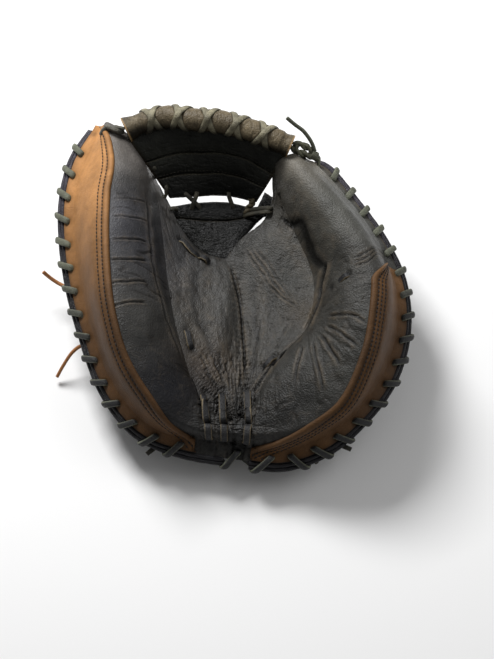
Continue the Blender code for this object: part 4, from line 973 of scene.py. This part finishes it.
def trim_width(half, s):
    """t of the trim's inner edge at stations s."""
    full, first, rounded, narrows, last = TRIM_SHAPE["thumb" if half is THUMB else "finger"]
    start, end = (TRIM_TIP, TRIM_POINT) if half is THUMB else (TRIM_POINT, TRIM_TIP)

    def ends(share, left):
        """Quarter round from the share left at the end to the full width."""
        return left + (1 - left) * np.sqrt(np.clip(1 - (1 - np.clip(share, 0, 1)) ** 2, 0, 1))

    return full * ends((s - first) / (rounded - first), start) * ends((last - s) / (last - narrows), end)


def trim_profile(distance):
    """Thickness of the trim by distance from its inner edge: a turned, rounded edge, then flat."""
    turned = 2.9 * np.sqrt(np.clip(1 - ((2.3 - distance) / 2.3) ** 2, 0, 1))
    return np.where(distance > 2.3, 2.9 - 1.1 * smooth(distance, 2.9, 5.6), turned)


def trim(looks, name, half, first, last, rows_of_thread, body):
    """Tan overlay with a turned inner edge, rows of stitching and dimples at the lace holes."""
    s = np.linspace(first, last, 420)
    inner = trim_width(half, s)
    # One column at a time: t runs from the inner edge to the laced edge
    share = np.linspace(0, 1, 64) ** 1.25
    fine = np.linspace(0, 1, 80)
    full = sheet_grid_varied(half, s, inner, fine)
    runs = np.cumsum(np.linalg.norm(np.diff(full, axis=1), axis=2), axis=1)
    length = np.concatenate([np.zeros((len(s), 1)), runs], axis=1)
    base = np.stack([[np.interp(share * length[r, -1], length[r], full[r, :, k]) for k in range(3)]
                     for r in range(len(s))])
    base = np.transpose(base, (0, 2, 1))
    distance = share[None] * length[:, -1:]
    normals = unit(np.cross(np.gradient(base, axis=0), np.gradient(base, axis=1)))
    normals *= np.sign(np.sum(normals * (base - np.array([0, -40, -60])), axis=2, keepdims=True))
    scaled = distance * np.maximum(1.0, 9.0 / length[:, -1:])
    height = trim_profile(scaled)
    height = height + 0.25 * noise(base / 13, 80) + 0.12 * noise(base / 4, 81)
    for row in rows_of_thread:
        height = height - 0.55 * np.exp(-((distance - row) / 0.7) ** 2) * (length[:, -1:] > row + 1.5)
    # Painted light and shade: the trim is lighter towards the web and darker towards the heel.
    lit_share = smooth(base[..., 1], *TRIM_FADE)[..., None]
    tint = srgb(*TRIM_SHADED) * (1 - lit_share) + srgb(*TRIM_LIT) * lit_share
    tint = tint * (1 + 0.16 * layered(base / 16, 82) + 0.1 * layered(base / 3, 84))[..., None]
    # Painted shade: darker on the slope behind the turned edge, at the inner edge by the palm and at the
    # outer edge by the piping.
    bead = np.exp(-((distance - 4.9) / 1.3) ** 2)
    tint = tint * (1 - 0.35 * bead)[..., None]
    tint = tint * (1 - 0.25 * np.exp(-(distance / 2.2) ** 2))[..., None]
    outer = length[:, -1:] - distance
    tint = tint * (1 - 0.35 * np.exp(-(outer / 2.0) ** 2))[..., None]
    for station in stitch_stations(half, *(RIM_THUMB if half is THUMB else RIM_FINGER)):
        hole = hole_point(half, station, TRIM_TOP)
        near = np.exp(-np.sum((base - hole) ** 2, axis=2) / 3.6 ** 2)
        height = height - 0.9 * near
        # Painted shade in the dimple round each hole.
        tint = tint * (1 - 0.6 * near)[..., None]
    top = base + np.maximum(height, 0.3)[..., None] * normals
    points, faces = slab(top, base - 0.15 * normals)
    obj = piece(name + "_overlay", points, faces, looks["tan_leather"],
                np.concatenate([tint.reshape(-1, 3), 0.8 * tint.reshape(-1, 3)]))
    ride(obj, body)
    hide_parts(name)
    stitches = []
    for row in rows_of_thread:
        line, up = (np.array([[np.interp(row, distance[r], grid[r, :, k]) for k in range(3)]
                              for r in range(len(s))]) for grid in (top, normals))
        long_enough = length[:, -1] > row + 1.2
        stitches += thread_row(line[long_enough], up[long_enough])
    thread = joined(name + "_thread", stitches, looks["thread"])
    ride(thread, body)


def sheet_grid_varied(half, s, inner, shares):
    """Palm points from each station's inner t (share 0) out to the laced edge (share 1), under the trim."""
    table_t = np.linspace(0, 0.4, 41)
    table = sheet_grid(palm_base, half, s, table_t, TRIM_LOW)
    out = np.empty((len(s), len(shares), 3))
    for r in range(len(s)):
        wanted = inner[r] + (0.014 - inner[r]) * shares
        for k in range(3):
            out[r, :, k] = np.interp(wanted, table_t, table[r, :, k])
    return out


def thread_row(line, up, pitch=3.3, length=2.4, radius=0.5, tone=None):
    """Solids of a row of stitches that lies along a line."""
    far = np.concatenate([[0], np.cumsum(np.linalg.norm(np.diff(line, axis=0), axis=1))])
    parts = []
    shape = ring_outline(1.0, 6)
    for start in np.arange(0.6, far[-1] - length, pitch):
        at = np.linspace(start, start + length, 7)
        path = np.stack([np.interp(at, far, line[:, k]) for k in range(3)], axis=1)
        n = unit(np.stack([np.interp(at, far, up[:, k]) for k in range(3)], axis=1))
        lift = np.sin(np.linspace(0, np.pi, 7))
        path = path + n * (0.42 * lift - 0.1)[:, None]
        points, faces = sweep(path, n, shape * radius, 0.35 + 0.65 * lift ** 0.5)
        parts.append((points, faces, srgb(20, 19, 21) if tone is None else tone))
    return parts


# ---------------------------------------------------------------- laces over the palm
LACE_ROW = 0.13  # t of the last holes, just inside the rim
PALM_LACES = {
    "palm_lace_notch": [("F", 5.25, 0.55), ("F", 5.75, 0.45)],
    "palm_lace_pocket": [("F", 2.25, 0.8), ("F", 2.75, 0.75)],
    "palm_lace_thumb": [("T", 5.75, 0.75), ("T", 6.25, 0.75)],
    "heel_lace_thumb": [("T", 7.5, 0.75), ("T", 8.35, 0.45), ("T", 8.45, LACE_ROW)],
    "heel_lace_centre": [("T", 7.9, 0.85), ("T", 8.7, 0.5), ("T", 8.75, LACE_ROW)],
    "heel_lace_finger": [("F", 1.2, 0.95), ("F", 0.4, 0.5), ("F", 0.2, LACE_ROW)],
    "web_base_lace": [("T", 3.25, 0.9), ("T", 4.15, 0.95), ("T", 4.65, 0.95)],
}


def staple(start, end, turn):
    """One lace segment that comes out of a hole, lies on the palm and goes into the next hole."""
    half = HALVES[start[0]]
    (_, s0, t0), (_, s1, t1) = start, end
    path, normals = [], []
    length = np.linalg.norm(spot(half, s1, t1, 0) - spot(half, s0, t0, 0))
    inset = min(turn / max(length, 1), 0.25)
    for f, d in ((inset * 0.5, 0.6), (inset, 2.4), (inset + 0.06, 3.6), (inset + 0.14, 4.0), (0.38, 4.4),
                 (0.5, 4.5), (0.62, 4.4), (0.86 - inset, 4.0), (0.94 - inset, 3.6), (1 - inset, 2.4),
                 (1 - inset * 0.5, 0.6)):
        s, t = s0 + (s1 - s0) * f, t0 + (t1 - t0) * f
        path.append(spot(half, s, t, d))
        normals.append(up_at(half, s, t))
    path, normals = np.array(path), np.array(normals)
    share = np.linspace(0, 1, len(path))[:, None]
    path[:, :1] = (path[0] + (path[-1] - path[0]) * share)[:, :1]
    steps = np.linspace(0, len(path) - 1, 40)
    dense, facing = curve(path, steps), unit(curve(normals, steps))
    t = tangents(dense)
    ends = np.linspace(-1, 1, 40)
    lean = np.sign(ends) * smooth(np.abs(ends), 0.8, 1.0)
    facing = unit(facing + 1.5 * lean[:, None] * t)
    outline = strap_outline(5.4, 2.0, 0.4)
    points, faces = sweep(dense, facing, outline)
    pale = np.abs(np.tile(outline[:, 0], len(dense))) / 2.7
    pale = np.concatenate([smooth(pale, 0.78, 1.0), [0, 0]])[:, None]
    tint = srgb(14, 14, 16) * (1 - pale) + srgb(104, 92, 70) * pale
    return points, faces, tint * (1 + 0.25 * layered(points / 3, 62))[:, None]


def palm_lacing(looks):
    """Lace segments at the heel, the notch, the pocket and the foot of the web."""
    bodies = {"palm_lace_notch": "finger_side", "palm_lace_pocket": "finger_side",
              "palm_lace_thumb": "thumb_side", "heel_lace_thumb": "thumb_side",
              "web_base_lace": "thumb_side"}
    for name, stops in PALM_LACES.items():
        parts = [staple(a, b, 2.2) for a, b in zip(stops[:-1], stops[1:])]
        obj = joined(name + "_run", parts, looks["grey_lace"])
        if name in bodies:
            ride(obj, bodies[name])
        else:
            bend(obj)
        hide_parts(name)


# ---------------------------------------------------------------- web
# Ties across the web's gaps: bow, and four stops as panel, u and v, or as half, station and t
WEB_TIES = {
    "web_lace_middle": [
        (0.6, [("upper", 0.17, 0.9), ("upper", 0.19, 0.95), ("lower", 0.3, 0.02), ("lower", 0.33, 0.1)]),
        (2.2, [("upper", 0.33, 0.9), ("upper", 0.31, 0.95), ("lower", 0.2, 0.02), ("lower", 0.17, 0.1)]),
        (0.6, [("upper", 0.7, 0.9), ("upper", 0.71, 0.95), ("lower", 0.78, 0.02), ("lower", 0.8, 0.1)])],
    "web_lace_thumb": [
        (0.2, [("T", 1.05, 0.86), ("T", 1.06, 0.9), ("upper", 0.01, 0.42), ("upper", 0.03, 0.43)]),
        (0.2, [("T", 1.75, 0.86), ("T", 1.76, 0.9), ("upper", 0.01, 0.78), ("upper", 0.04, 0.79)]),
        (0.3, [("T", 2.2, 0.9), ("T", 2.2, 0.95), ("lower", -0.02, 0.02), ("lower", 0.02, 0.05)])],
    "web_lace_finger": [
        (1.6, [("F", 8.55, 0.93), ("F", 8.5, 0.97), ("lower", 1.04, 0.06), ("lower", 0.98, 0.1)]),
        (2.2, [("F", 8.35, 0.93), ("F", 8.3, 0.97), ("lower", 1.02, 0.26), ("lower", 0.96, 0.3)])],
}
BAR_TURNS = 6
WRAP_FIRST, WRAP_LAST = 0.12, 0.93
WRAP_PHASE = -1.15  # turns the crossings towards the pocket


PANEL_REACH = {"upper": ((-0.03, 1.06), (-0.22, 1.0)), "lower": ((-0.42, 1.75), (-0.1, 1.3))}


def panel_grid(which, us, vs):
    """Middle surface of a web panel and its normals towards the pocket."""
    top, bottom = PANELS[which]
    upper = curve(top, np.clip(us, 0, 1) * (len(top) - 1))
    lower = curve(bottom, np.clip(us, 0, 1) * (len(bottom) - 1))
    for border, ends in ((upper, top), (lower, bottom)):
        ends = np.array(ends, float)
        border += np.minimum(us, 0)[:, None] * (ends[1] - ends[0]) * (len(ends) - 1)
        border += np.maximum(us - 1, 0)[:, None] * (ends[-1] - ends[-2]) * (len(ends) - 1)
    grid = upper[None] * (1 - vs[:, None, None]) + lower[None] * vs[:, None, None]
    normals = unit(np.cross(np.gradient(grid, axis=0), np.gradient(grid, axis=1)))
    return grid, normals * np.sign(normals[..., 2:] + 1e-9)


def web_panel(looks, which, seams, node):
    """Web panel: bands of leather between seams, with curled, pale cut edges."""
    rows, cols = 130, 170
    across, down = PANEL_REACH[which]
    us, vs = np.linspace(*across, cols), np.linspace(*down, rows)
    grid, normals = panel_grid(which, us, vs)
    u, v = np.broadcast_to(us, (rows, cols)), np.broadcast_to(vs[:, None], (rows, cols))
    wave = v + 0.012 * noise(np.stack([u * 5, v * 0 + 2.0], axis=-1), 90)
    height = 0.9 * noise(grid / 19, 91) + 0.35 * noise(grid / 6, 92)
    tint = np.broadcast_to(srgb(30, 31, 26), grid.shape) * (1 + 0.4 * layered(grid / 9, 93))[..., None]
    # Painted shade: darker lower down towards the crotch, and the lower panel darker still.
    tint = tint * (1 - 0.72 * smooth(-grid[..., 2], -88, -52))[..., None]
    tint = tint * (0.3 if which == "lower" else 1.0)
    edges = [down[0], *seams, down[1]]
    for a, b in zip(edges[:-1], edges[1:]):
        inside = (wave >= a) & (wave < b)
        f = np.clip((wave - a) / (b - a), 0, 1)
        height = height + np.where(inside, 1.6 * np.sin(np.pi * f) ** 0.6, 0)
    for seam in seams:
        line = np.exp(-((wave - seam) / 0.012) ** 2)
        height = height - 0.8 * line
        rim = np.exp(-((wave - seam - 0.018) / 0.008) ** 2)
        # Painted shade in the seam's groove, and a brownish cut edge beside it.
        tint = tint * (1 - 0.6 * line)[..., None] + srgb(62, 56, 42) * (0.5 * rim)[..., None]
    grooves = lines(u * 7, v * 16, 95) * 0.35 + 0.3 * lines(u * 22, v * 5, 97)
    height = height - grooves
    # Painted shade in the wrinkles.
    tint = tint * (1 - 0.45 * np.clip(grooves, 0, 1))[..., None]
    border = np.minimum(np.minimum(u - across[0], across[1] - u) * 90,
                        np.minimum(v - down[0], down[1] - v) * 50)
    pale = np.exp(-(border / 1.4) ** 2)
    tint = tint * (1 - 0.5 * pale)[..., None] + srgb(72, 62, 46) * (0.4 * pale)[..., None]
    height = height - 1.1 * np.exp(-(border / 1.2) ** 2)
    top = grid + (1.0 + height)[..., None] * normals
    bottom = grid - 1.6 * normals + (0.5 * height)[..., None] * normals
    points, faces = slab(top, bottom)
    obj = piece(node + "_leather", points, faces, looks["black_leather"],
                np.concatenate([tint.reshape(-1, 3), 0.9 * tint.reshape(-1, 3)]))
    stitches = []
    for seam in seams:
        row = int(round((seam - 0.035 - down[0]) / (down[1] - down[0]) * (rows - 1)))
        stitches += thread_row(top[row], normals[row], pitch=3.0, length=2.0, radius=0.3,
                               tone=srgb(40, 37, 30))
    thread = joined(node + "_thread", stitches, looks["thread"])
    for part in (obj, thread):
        bend(part)
    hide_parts(node)


def bar_frames(count):
    """Path of the web's bar with two directions across it."""
    path = through(BAR, count)
    t = tangents(path)
    first = unit(np.cross(t, UP))
    return path, t, first, np.cross(t, first)


def web_bar(looks):
    """The rolled leather bar, pinched under two laces that cross over and over along it."""
    count, sides = 300, 72
    path, _, a1, a2 = bar_frames(count)
    f = np.linspace(0, 1, count)[:, None]
    angle = 2 * np.pi * np.arange(sides)[None] / sides
    inside = smooth(f, WRAP_FIRST - 0.02, WRAP_FIRST) * smooth(-f, -WRAP_LAST - 0.02, -WRAP_LAST)
    pinch = np.zeros((count, sides))
    for sense in (1, -1):
        away = (angle - WRAP_PHASE - sense * 2 * np.pi * BAR_TURNS * f + np.pi) % (2 * np.pi) - np.pi
        pinch = np.maximum(pinch, np.exp(-(away / 0.5) ** 2) * inside)
    spokes = np.cos(angle)[..., None] * a1[:, None] + np.sin(angle)[..., None] * a2[:, None]
    even = path[:, None] + BAR_RADIUS * spokes
    wrinkle = lines(f * 40 + 0 * angle, angle * 1.2 + 0 * f, 100)
    flare = 3.0 * smooth(-f, -0.09, 0.0) * (0.7 + 0.5 * np.cos(angle - 2.2)) + 1.3 * smooth(f, 0.95, 1.0)
    radius = BAR_RADIUS + 0.5 * noise(even / 9, 101) + flare - 1.8 * pinch
    radius = radius + (0.9 * inside - 0.35 * wrinkle) * (1 - pinch)
    outer = path[:, None] + radius[..., None] * spokes
    inner = path[:, None] + (radius - 2.0)[..., None] * spokes
    tone = srgb(92, 82, 64)
    tint = tone * (1 + 0.3 * layered(outer / 8, 102))[..., None]
    # Painted shade where the laces pinch the roll and in its wrinkles.
    tint = tint * (1 - 0.7 * pinch - 0.25 * wrinkle)[..., None]
    # Painted shade on the bar's lower side, which faces away from the light.
    under = smooth(-outer[..., 2], -108, -100)
    tint = tint * (1 - 0.85 * under)[..., None]
    rim = np.maximum(smooth(-f, -0.012, 0.0), smooth(f, 0.988, 1.0)) + 0 * angle
    tint = tint * (1 - rim)[..., None] + srgb(150, 122, 84) * rim[..., None]
    points = np.concatenate([outer.reshape(-1, 3), inner.reshape(-1, 3)])
    faces = [tuple(q) for q in grid_faces(count, sides, closed=True).tolist()]
    faces += [tuple(q[::-1]) for q in grid_faces(count, sides, count * sides, closed=True).tolist()]
    for first in (0, (count - 1) * sides):
        ring = first + np.arange(sides)
        for a, b in zip(ring, np.roll(ring, -1)):
            faces.append((a, a + count * sides, b + count * sides, b))
    dark = np.broadcast_to(srgb(24, 23, 20), outer.shape)
    tints = np.concatenate([tint.reshape(-1, 3), dark.reshape(-1, 3)])
    obj = piece("web_bar_roll", points, faces, looks["black_leather"], tints)
    bend(obj)
    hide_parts("web_bar_sleeve")
    core_points, core_faces = sweep(path[6:-6], a1[6:-6], ring_outline(5.0, 14))
    core = joined("web_bar_filling", [(core_points, core_faces, srgb(60, 56, 48))], looks["felt"])
    bend(core)
    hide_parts("web_bar_core")
    for name, sense in (("web_bar_lace_inner", 1), ("web_bar_lace_outer", -1)):
        dense = 720
        p, _, b1, b2 = bar_frames(dense)
        g = np.linspace(0, 1, dense)
        a = WRAP_PHASE + sense * 2 * np.pi * BAR_TURNS * g
        n = np.cos(a)[:, None] * b1 + np.sin(a)[:, None] * b2
        crossing = np.clip(np.cos(4 * np.pi * BAR_TURNS * g), 0, 1) ** 3
        rise = crossing * (2.3 if sense < 0 else 0.0)
        lace = p + (BAR_RADIUS + 0.7 + rise)[:, None] * n
        keep = (g > WRAP_FIRST) & (g < WRAP_LAST)
        outline = strap_outline(LACE_WIDTH + 0.6, 3.0, 0.55)
        points, faces = sweep(lace[keep], n[keep], outline)
        tint = srgb(112, 107, 88) * (1 + 0.45 * layered(points / 4, 104))[:, None]
        # Painted shade on the laces' lower side.
        tint = tint * (1 - 0.85 * smooth(-points[:, 2], -109, -99))[:, None]
        edge = np.abs(np.tile(outline[:, 0], int(keep.sum()))) / (0.5 * (LACE_WIDTH + 0.6))
        edge = np.concatenate([smooth(edge, 0.8, 1.0), [0, 0]])[:, None]
        # Painted shade along the laces' edges.
        tint = tint * (1 - 0.6 * edge)
        obj = joined(name + "_wrap", [(points, faces, tint)], looks["grey_lace"])
        bend(obj)
        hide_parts(name)


def web_stop(stop, d):
    """A point that a web lace runs through, d in front of the palm or of a web panel."""
    where, a, b = stop
    if where in HALVES:
        return spot(HALVES[where], a, b, d + 1.6)
    us, vs = a + np.array([-0.01, 0.0, 0.01]), b + np.array([-0.01, 0.0, 0.01])
    grid, normals = panel_grid(where, us, vs)
    return grid[1, 1] + d * normals[1, 1]


def tie(stops, bow, rise=2.4):
    """Short rounded lace through the given stops, bowed towards the pocket."""
    path = np.array([web_stop(stop, d) for stop, d in zip(stops, (-1.5, rise, rise, -1.5))])
    facing = unit(path - np.array([web_stop(stop, -6.0) for stop in stops]))
    steps = np.linspace(0, 3, 34)
    dense, n = curve(path, steps), unit(curve(facing, steps))
    dense = dense + n * (bow * np.sin(np.pi * steps / 3))[:, None]
    points, faces = sweep(dense, n, strap_outline(3.6, 2.2, 0.55))
    tint = srgb(48, 45, 35) * (1 + 0.6 * layered(points / 3, 110))[:, None]
    return points, faces, tint


def web_lacing(looks):
    """The laces that tie the web's two panels together and to thumb and fingers."""
    for name, ties in WEB_TIES.items():
        parts = [tie(stops, bow) for bow, stops in ties]
        if name == "web_lace_finger":
            route = np.array([web_stop(("upper", 0.985, 0.93), 1.0), web_stop(("upper", 1.02, 1.0), 3.0),
                              web_stop(("lower", 1.02, 0.0), 4.0), web_stop(("lower", 1.0, 0.2), 3.0)])
            parts += twisted(through(route, 50), 1.6, 1.5, srgb(66, 58, 40), 111)
        obj = joined(name + "_run", parts, looks["grey_lace"])
        bend(obj)
        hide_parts(name)


# ---------------------------------------------------------------- tips of thumb and index finger
LOOP_FROM, LOOP_TO = np.array([46.0, 74.0, 99.0]), np.array([62.0, 72.0, 89.0])
LOOP_ACROSS = unit(np.cross(LOOP_TO - LOOP_FROM, (0, -0.5, 0.87)))


def twisted(path, radius, turns, tone, seed):
    """Two strands of rough lace twisted round each other along the path."""
    t = tangents(path)
    a1 = unit(np.cross(t, (0.2, 0.3, 1.0)))
    a2 = np.cross(t, a1)
    parts = []
    for start in (0.0, np.pi):
        a = start + 2 * np.pi * turns * np.linspace(0, 1, len(path))
        n = np.cos(a)[:, None] * a1 + np.sin(a)[:, None] * a2
        strand = path + 0.75 * radius * n
        along = np.stack([np.linspace(0, 9, len(path)), np.full(len(path), start)], axis=1)
        lumps = 1 + 0.2 * noise(along, seed)
        points, faces = sweep(strand, n, ring_outline(radius, 12), lumps)
        parts.append((points, faces, tone * (1 + 0.5 * layered(points / 1.8, seed))[:, None]))
    return parts


def tips(looks):
    """Lace at the thumb's tip, and the twisted loop and knot at the index finger's."""
    strands = []
    for side, lift in ((-3.4, 0.0), (3.2, 1.2)):
        middle = 0.5 * (LOOP_FROM + LOOP_TO) + side * LOOP_ACROSS + (0, 0, lift)
        route = [LOOP_FROM, 0.6 * LOOP_FROM + 0.4 * middle + 0.6 * side * LOOP_ACROSS, middle,
                 0.6 * LOOP_TO + 0.4 * middle + 0.4 * side * LOOP_ACROSS, LOOP_TO]
        strands += twisted(through(route, 60), 1.75, 1.3, srgb(80, 80, 64), 120)
    obj = joined("tip_loop_twist", strands, looks["tan_lace"])
    ride(obj, "finger_side")
    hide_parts("tip_loop_finger")
    a = np.linspace(0, 2 * np.pi * 2.1, 120)
    along = unit(LOOP_TO - LOOP_FROM)
    side = unit(np.cross(along, UP))
    up = np.cross(side, along)
    turn = (np.cos(a)[:, None] * side + np.sin(a)[:, None] * up)
    coil = LOOP_TO + along * (5.0 * (a / a[-1] - 0.3))[:, None] + 2.6 * turn
    points, faces = sweep(coil, turn, strap_outline(3.8, 2.2, 0.5))
    wrap = [(points, faces, srgb(84, 85, 70) * (1 + 0.4 * layered(points / 2.5, 121))[:, None])]
    end = [LOOP_TO - 2 * along, LOOP_TO + 5 * along, np.array([66.0, 63.0, 80.0]),
           np.array([72.0, 56.0, 75.0])]
    path = through(end, 40)
    points, faces = sweep(path, np.cross(tangents(path), (0.5, 0.5, -1)), strap_outline(3.8, 2.4, 0.5))
    wrap.append((points, faces, srgb(84, 85, 70) * (1 + 0.4 * layered(points / 2.5, 121))[:, None]))
    obj = joined("tip_knot_turns", wrap, looks["grey_lace"])
    ride(obj, "finger_side")
    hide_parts("tip_knot_finger")
    bar_end = np.array(BAR[0], float) - 1.6 * unit(np.array(BAR[1], float) - BAR[0])
    start = spot(THUMB, 0.25, 0.3, 3.8)
    route = [start - (1, 2, 3), start + (2, 1, 1.4), start + (4, 1, 3.0), bar_end + (-7, 0, 3.6),
             bar_end + (0, 0, 1)]
    strands = twisted(through(route, 60), 1.9, 0.8, srgb(78, 76, 68), 122)
    obj = joined("tip_lace_strands", strands, looks["grey_lace"])
    ride(obj, "thumb_side")
    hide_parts("tip_lace_thumb")


# ---------------------------------------------------------------- back and inside
def back_shell(looks, name, half, s, body):
    """Back leather of one side, with stitched finger seams and soft creases."""
    ts = np.linspace(0, 1, 70)
    outer = sheet_grid(back_base, half, s, ts, BACK_LOW)
    inner = sheet_grid(back_base, half, s, ts, -0.2)
    away = unit(outer - inner)
    groove = np.zeros(outer.shape[:2])
    seams = []
    for k in range(1, 5):
        at = s[0] + (s[-1] - s[0]) * k / 5
        line = np.exp(-((s[:, None] - at - 0.25 * np.sin(3 * ts)[None]) / 0.035) ** 2)
        line = line * smooth(ts, 0.2, 0.3)[None]
        groove = np.maximum(groove, line)
        seams.append(at)
    wrinkle = lines(outer[..., 0] / 24, outer[..., 1] / 7, 130)
    free = smooth(outer[..., 2], 1.2, 6.0)
    depth = (0.9 * groove + 0.3 * wrinkle + 0.4 * noise(outer / 16, 131) + 0.4) * free
    top = outer - depth[..., None] * away
    tint = srgb(44, 43, 44) * (1 + 0.25 * layered(outer / 12, 132))[..., None]
    # Painted shade in the seam grooves and wrinkles.
    tint = tint * (1 - 0.5 * groove - 0.2 * wrinkle)[..., None]
    scuff = smooth(-outer[..., 2], -3, 0)[..., None] * 0.35
    tint = tint * (1 - scuff) + srgb(96, 88, 78) * scuff
    points, faces = slab(top, inner)
    lining = np.broadcast_to(srgb(70, 52, 40), tint.shape)
    obj = piece(name + "_leather", points, faces, looks["black_leather"],
                np.concatenate([tint.reshape(-1, 3), lining.reshape(-1, 3)]))
    ride(obj, body)
    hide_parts(name)
    stitches = []
    for at in seams:
        for side in (-0.06, 0.06):
            row_s = at + side + 0.25 * np.sin(3 * ts)
            fits = (ts > 0.28) & (ts < 0.97) & (row_s < s[-1]) & (row_s > s[0])
            line, n = (np.stack([[np.interp(row_s[j], s, grid[:, j, k]) for k in range(3)]
                                 for j in np.where(fits)[0]]) for grid in (top, away))
            line[:, 2] = np.maximum(line[:, 2], 0.75)
            stitches += thread_row(line, n, pitch=3.4, length=2.4, radius=0.32, tone=srgb(70, 60, 46))
    thread = joined(name + "_thread", stitches, looks["thread"])
    ride(thread, body)


def refined(node, look, tone, body, levels=2, rough=0.25, scale=5.0, seed=140):
    """Detailed piece grown from a CAD node: rounded, with an uneven surface and colour."""
    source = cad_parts[node]
    mesh = source.data.copy()
    mesh.name = node + "_piece"
    obj = bpy.data.objects.new(node + "_piece", mesh)
    bpy.context.scene.collection.objects.link(obj)
    work = bmesh.new()
    work.from_mesh(mesh)
    bmesh.ops.remove_doubles(work, verts=work.verts, dist=1e-5)
    bmesh.ops.join_triangles(work, faces=work.faces, angle_face_threshold=0.6, angle_shape_threshold=3.1)
    for _ in range(levels):
        bmesh.ops.subdivide_edges(work, edges=work.edges, cuts=1, use_grid_fill=True, smooth=0.0)
    for _ in range(2 * levels):
        bmesh.ops.smooth_vert(work, verts=work.verts, factor=0.5, use_axis_x=True, use_axis_y=True,
                              use_axis_z=True)
    bmesh.ops.recalc_face_normals(work, faces=work.faces)
    work.to_mesh(mesh)
    work.free()
    co = np.array([v.co for v in mesh.vertices], float) / MM
    normals = np.array([v.normal for v in mesh.vertices], float)
    co = co + normals * (rough * (noise(co / scale, seed) - 0.6))[:, None]
    mesh.vertices.foreach_set("co", (co * MM).astype(np.float32).ravel())
    mesh.materials.clear()
    mesh.materials.append(look)
    paint(mesh, np.asarray(tone) * (1 + 0.25 * layered(co / 6, seed + 1))[:, None])
    mesh.shade_smooth()
    if body is None:
        bend(obj)
    else:
        ride(obj, body)
    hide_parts(node)
    return obj


def inside_and_strap(looks):
    """Pads, finger stalls, side walls, bindings and the wrist strap."""
    felt, lining = srgb(178, 170, 152), srgb(122, 92, 64)
    for node, body in (("pad_thumb", "thumb_side"), ("pad_little_finger", "finger_side"),
                       ("pad_index_finger", "finger_side"), ("pocket_felt_thumb", "thumb_side"),
                       ("pocket_felt_finger", "finger_side")):
        obj = refined(node, looks["felt"], felt, body, rough=0.3, scale=3.0)
    for node in ("stall_thumb", "stall_index", "stall_middle", "stall_ring", "stall_little"):
        body = "thumb_side" if node == "stall_thumb" else "finger_side"
        refined(node, looks["lining"], lining, body)
    for side in ("thumb", "finger"):
        body = side + "_side"
        refined("gusset_" + side, looks["black_leather"], srgb(40, 39, 38), body)
        refined("binding_" + side, looks["tan_leather"], srgb(140, 96, 60), body, rough=0.1)
    keeper_tone = srgb(40, 39, 39)
    refined("strap_keeper", looks["black_leather"], keeper_tone, "thumb_side", rough=0.1)
    refined("strap_ring", looks["nickel"], srgb(196, 194, 188), "thumb_side", rough=0.02)
    refined("loop_patch", looks["fleece"], srgb(38, 38, 40), "thumb_side", rough=0.1, scale=1.0)
    refined("hook_patch", looks["fleece"], srgb(46, 46, 48), "strap_tab", rough=0.1, scale=1.0)
    refined("strap_tab", looks["tan_leather"], srgb(150, 102, 62), "strap_tab", rough=0.1)
    refined("wrist_strap", looks["black_leather"], srgb(44, 43, 42), None, rough=0.1)
    refined("thumb_loop_lace", looks["tan_lace"], TAN_LACE_TONE, "thumb_side", rough=0.15)


LOOKS = palette()
studio()
loose_ends(LOOKS)
palm_leather(LOOKS)
rim_lacing(LOOKS)
welts(LOOKS)
trim(LOOKS, "trim_thumb", THUMB, 0.02, 8.25, (5.6, 9.6), "thumb_side")
trim(LOOKS, "trim_finger", FINGER, 0.3, 6.2, (5.6, 8.2, 11.4), "finger_side")
palm_lacing(LOOKS)
web_bar(LOOKS)
web_panel(LOOKS, "upper", (0.28, 0.61), "web_upper_panel")
web_panel(LOOKS, "lower", (0.3,), "web_lower_panel")
web_lacing(LOOKS)
tips(LOOKS)
back_shell(LOOKS, "back_thumb", THUMB, np.linspace(0, 7.99, 260), "thumb_side")
back_shell(LOOKS, "back_finger", FINGER, np.linspace(1.09, 10, 260), "finger_side")
inside_and_strap(LOOKS)
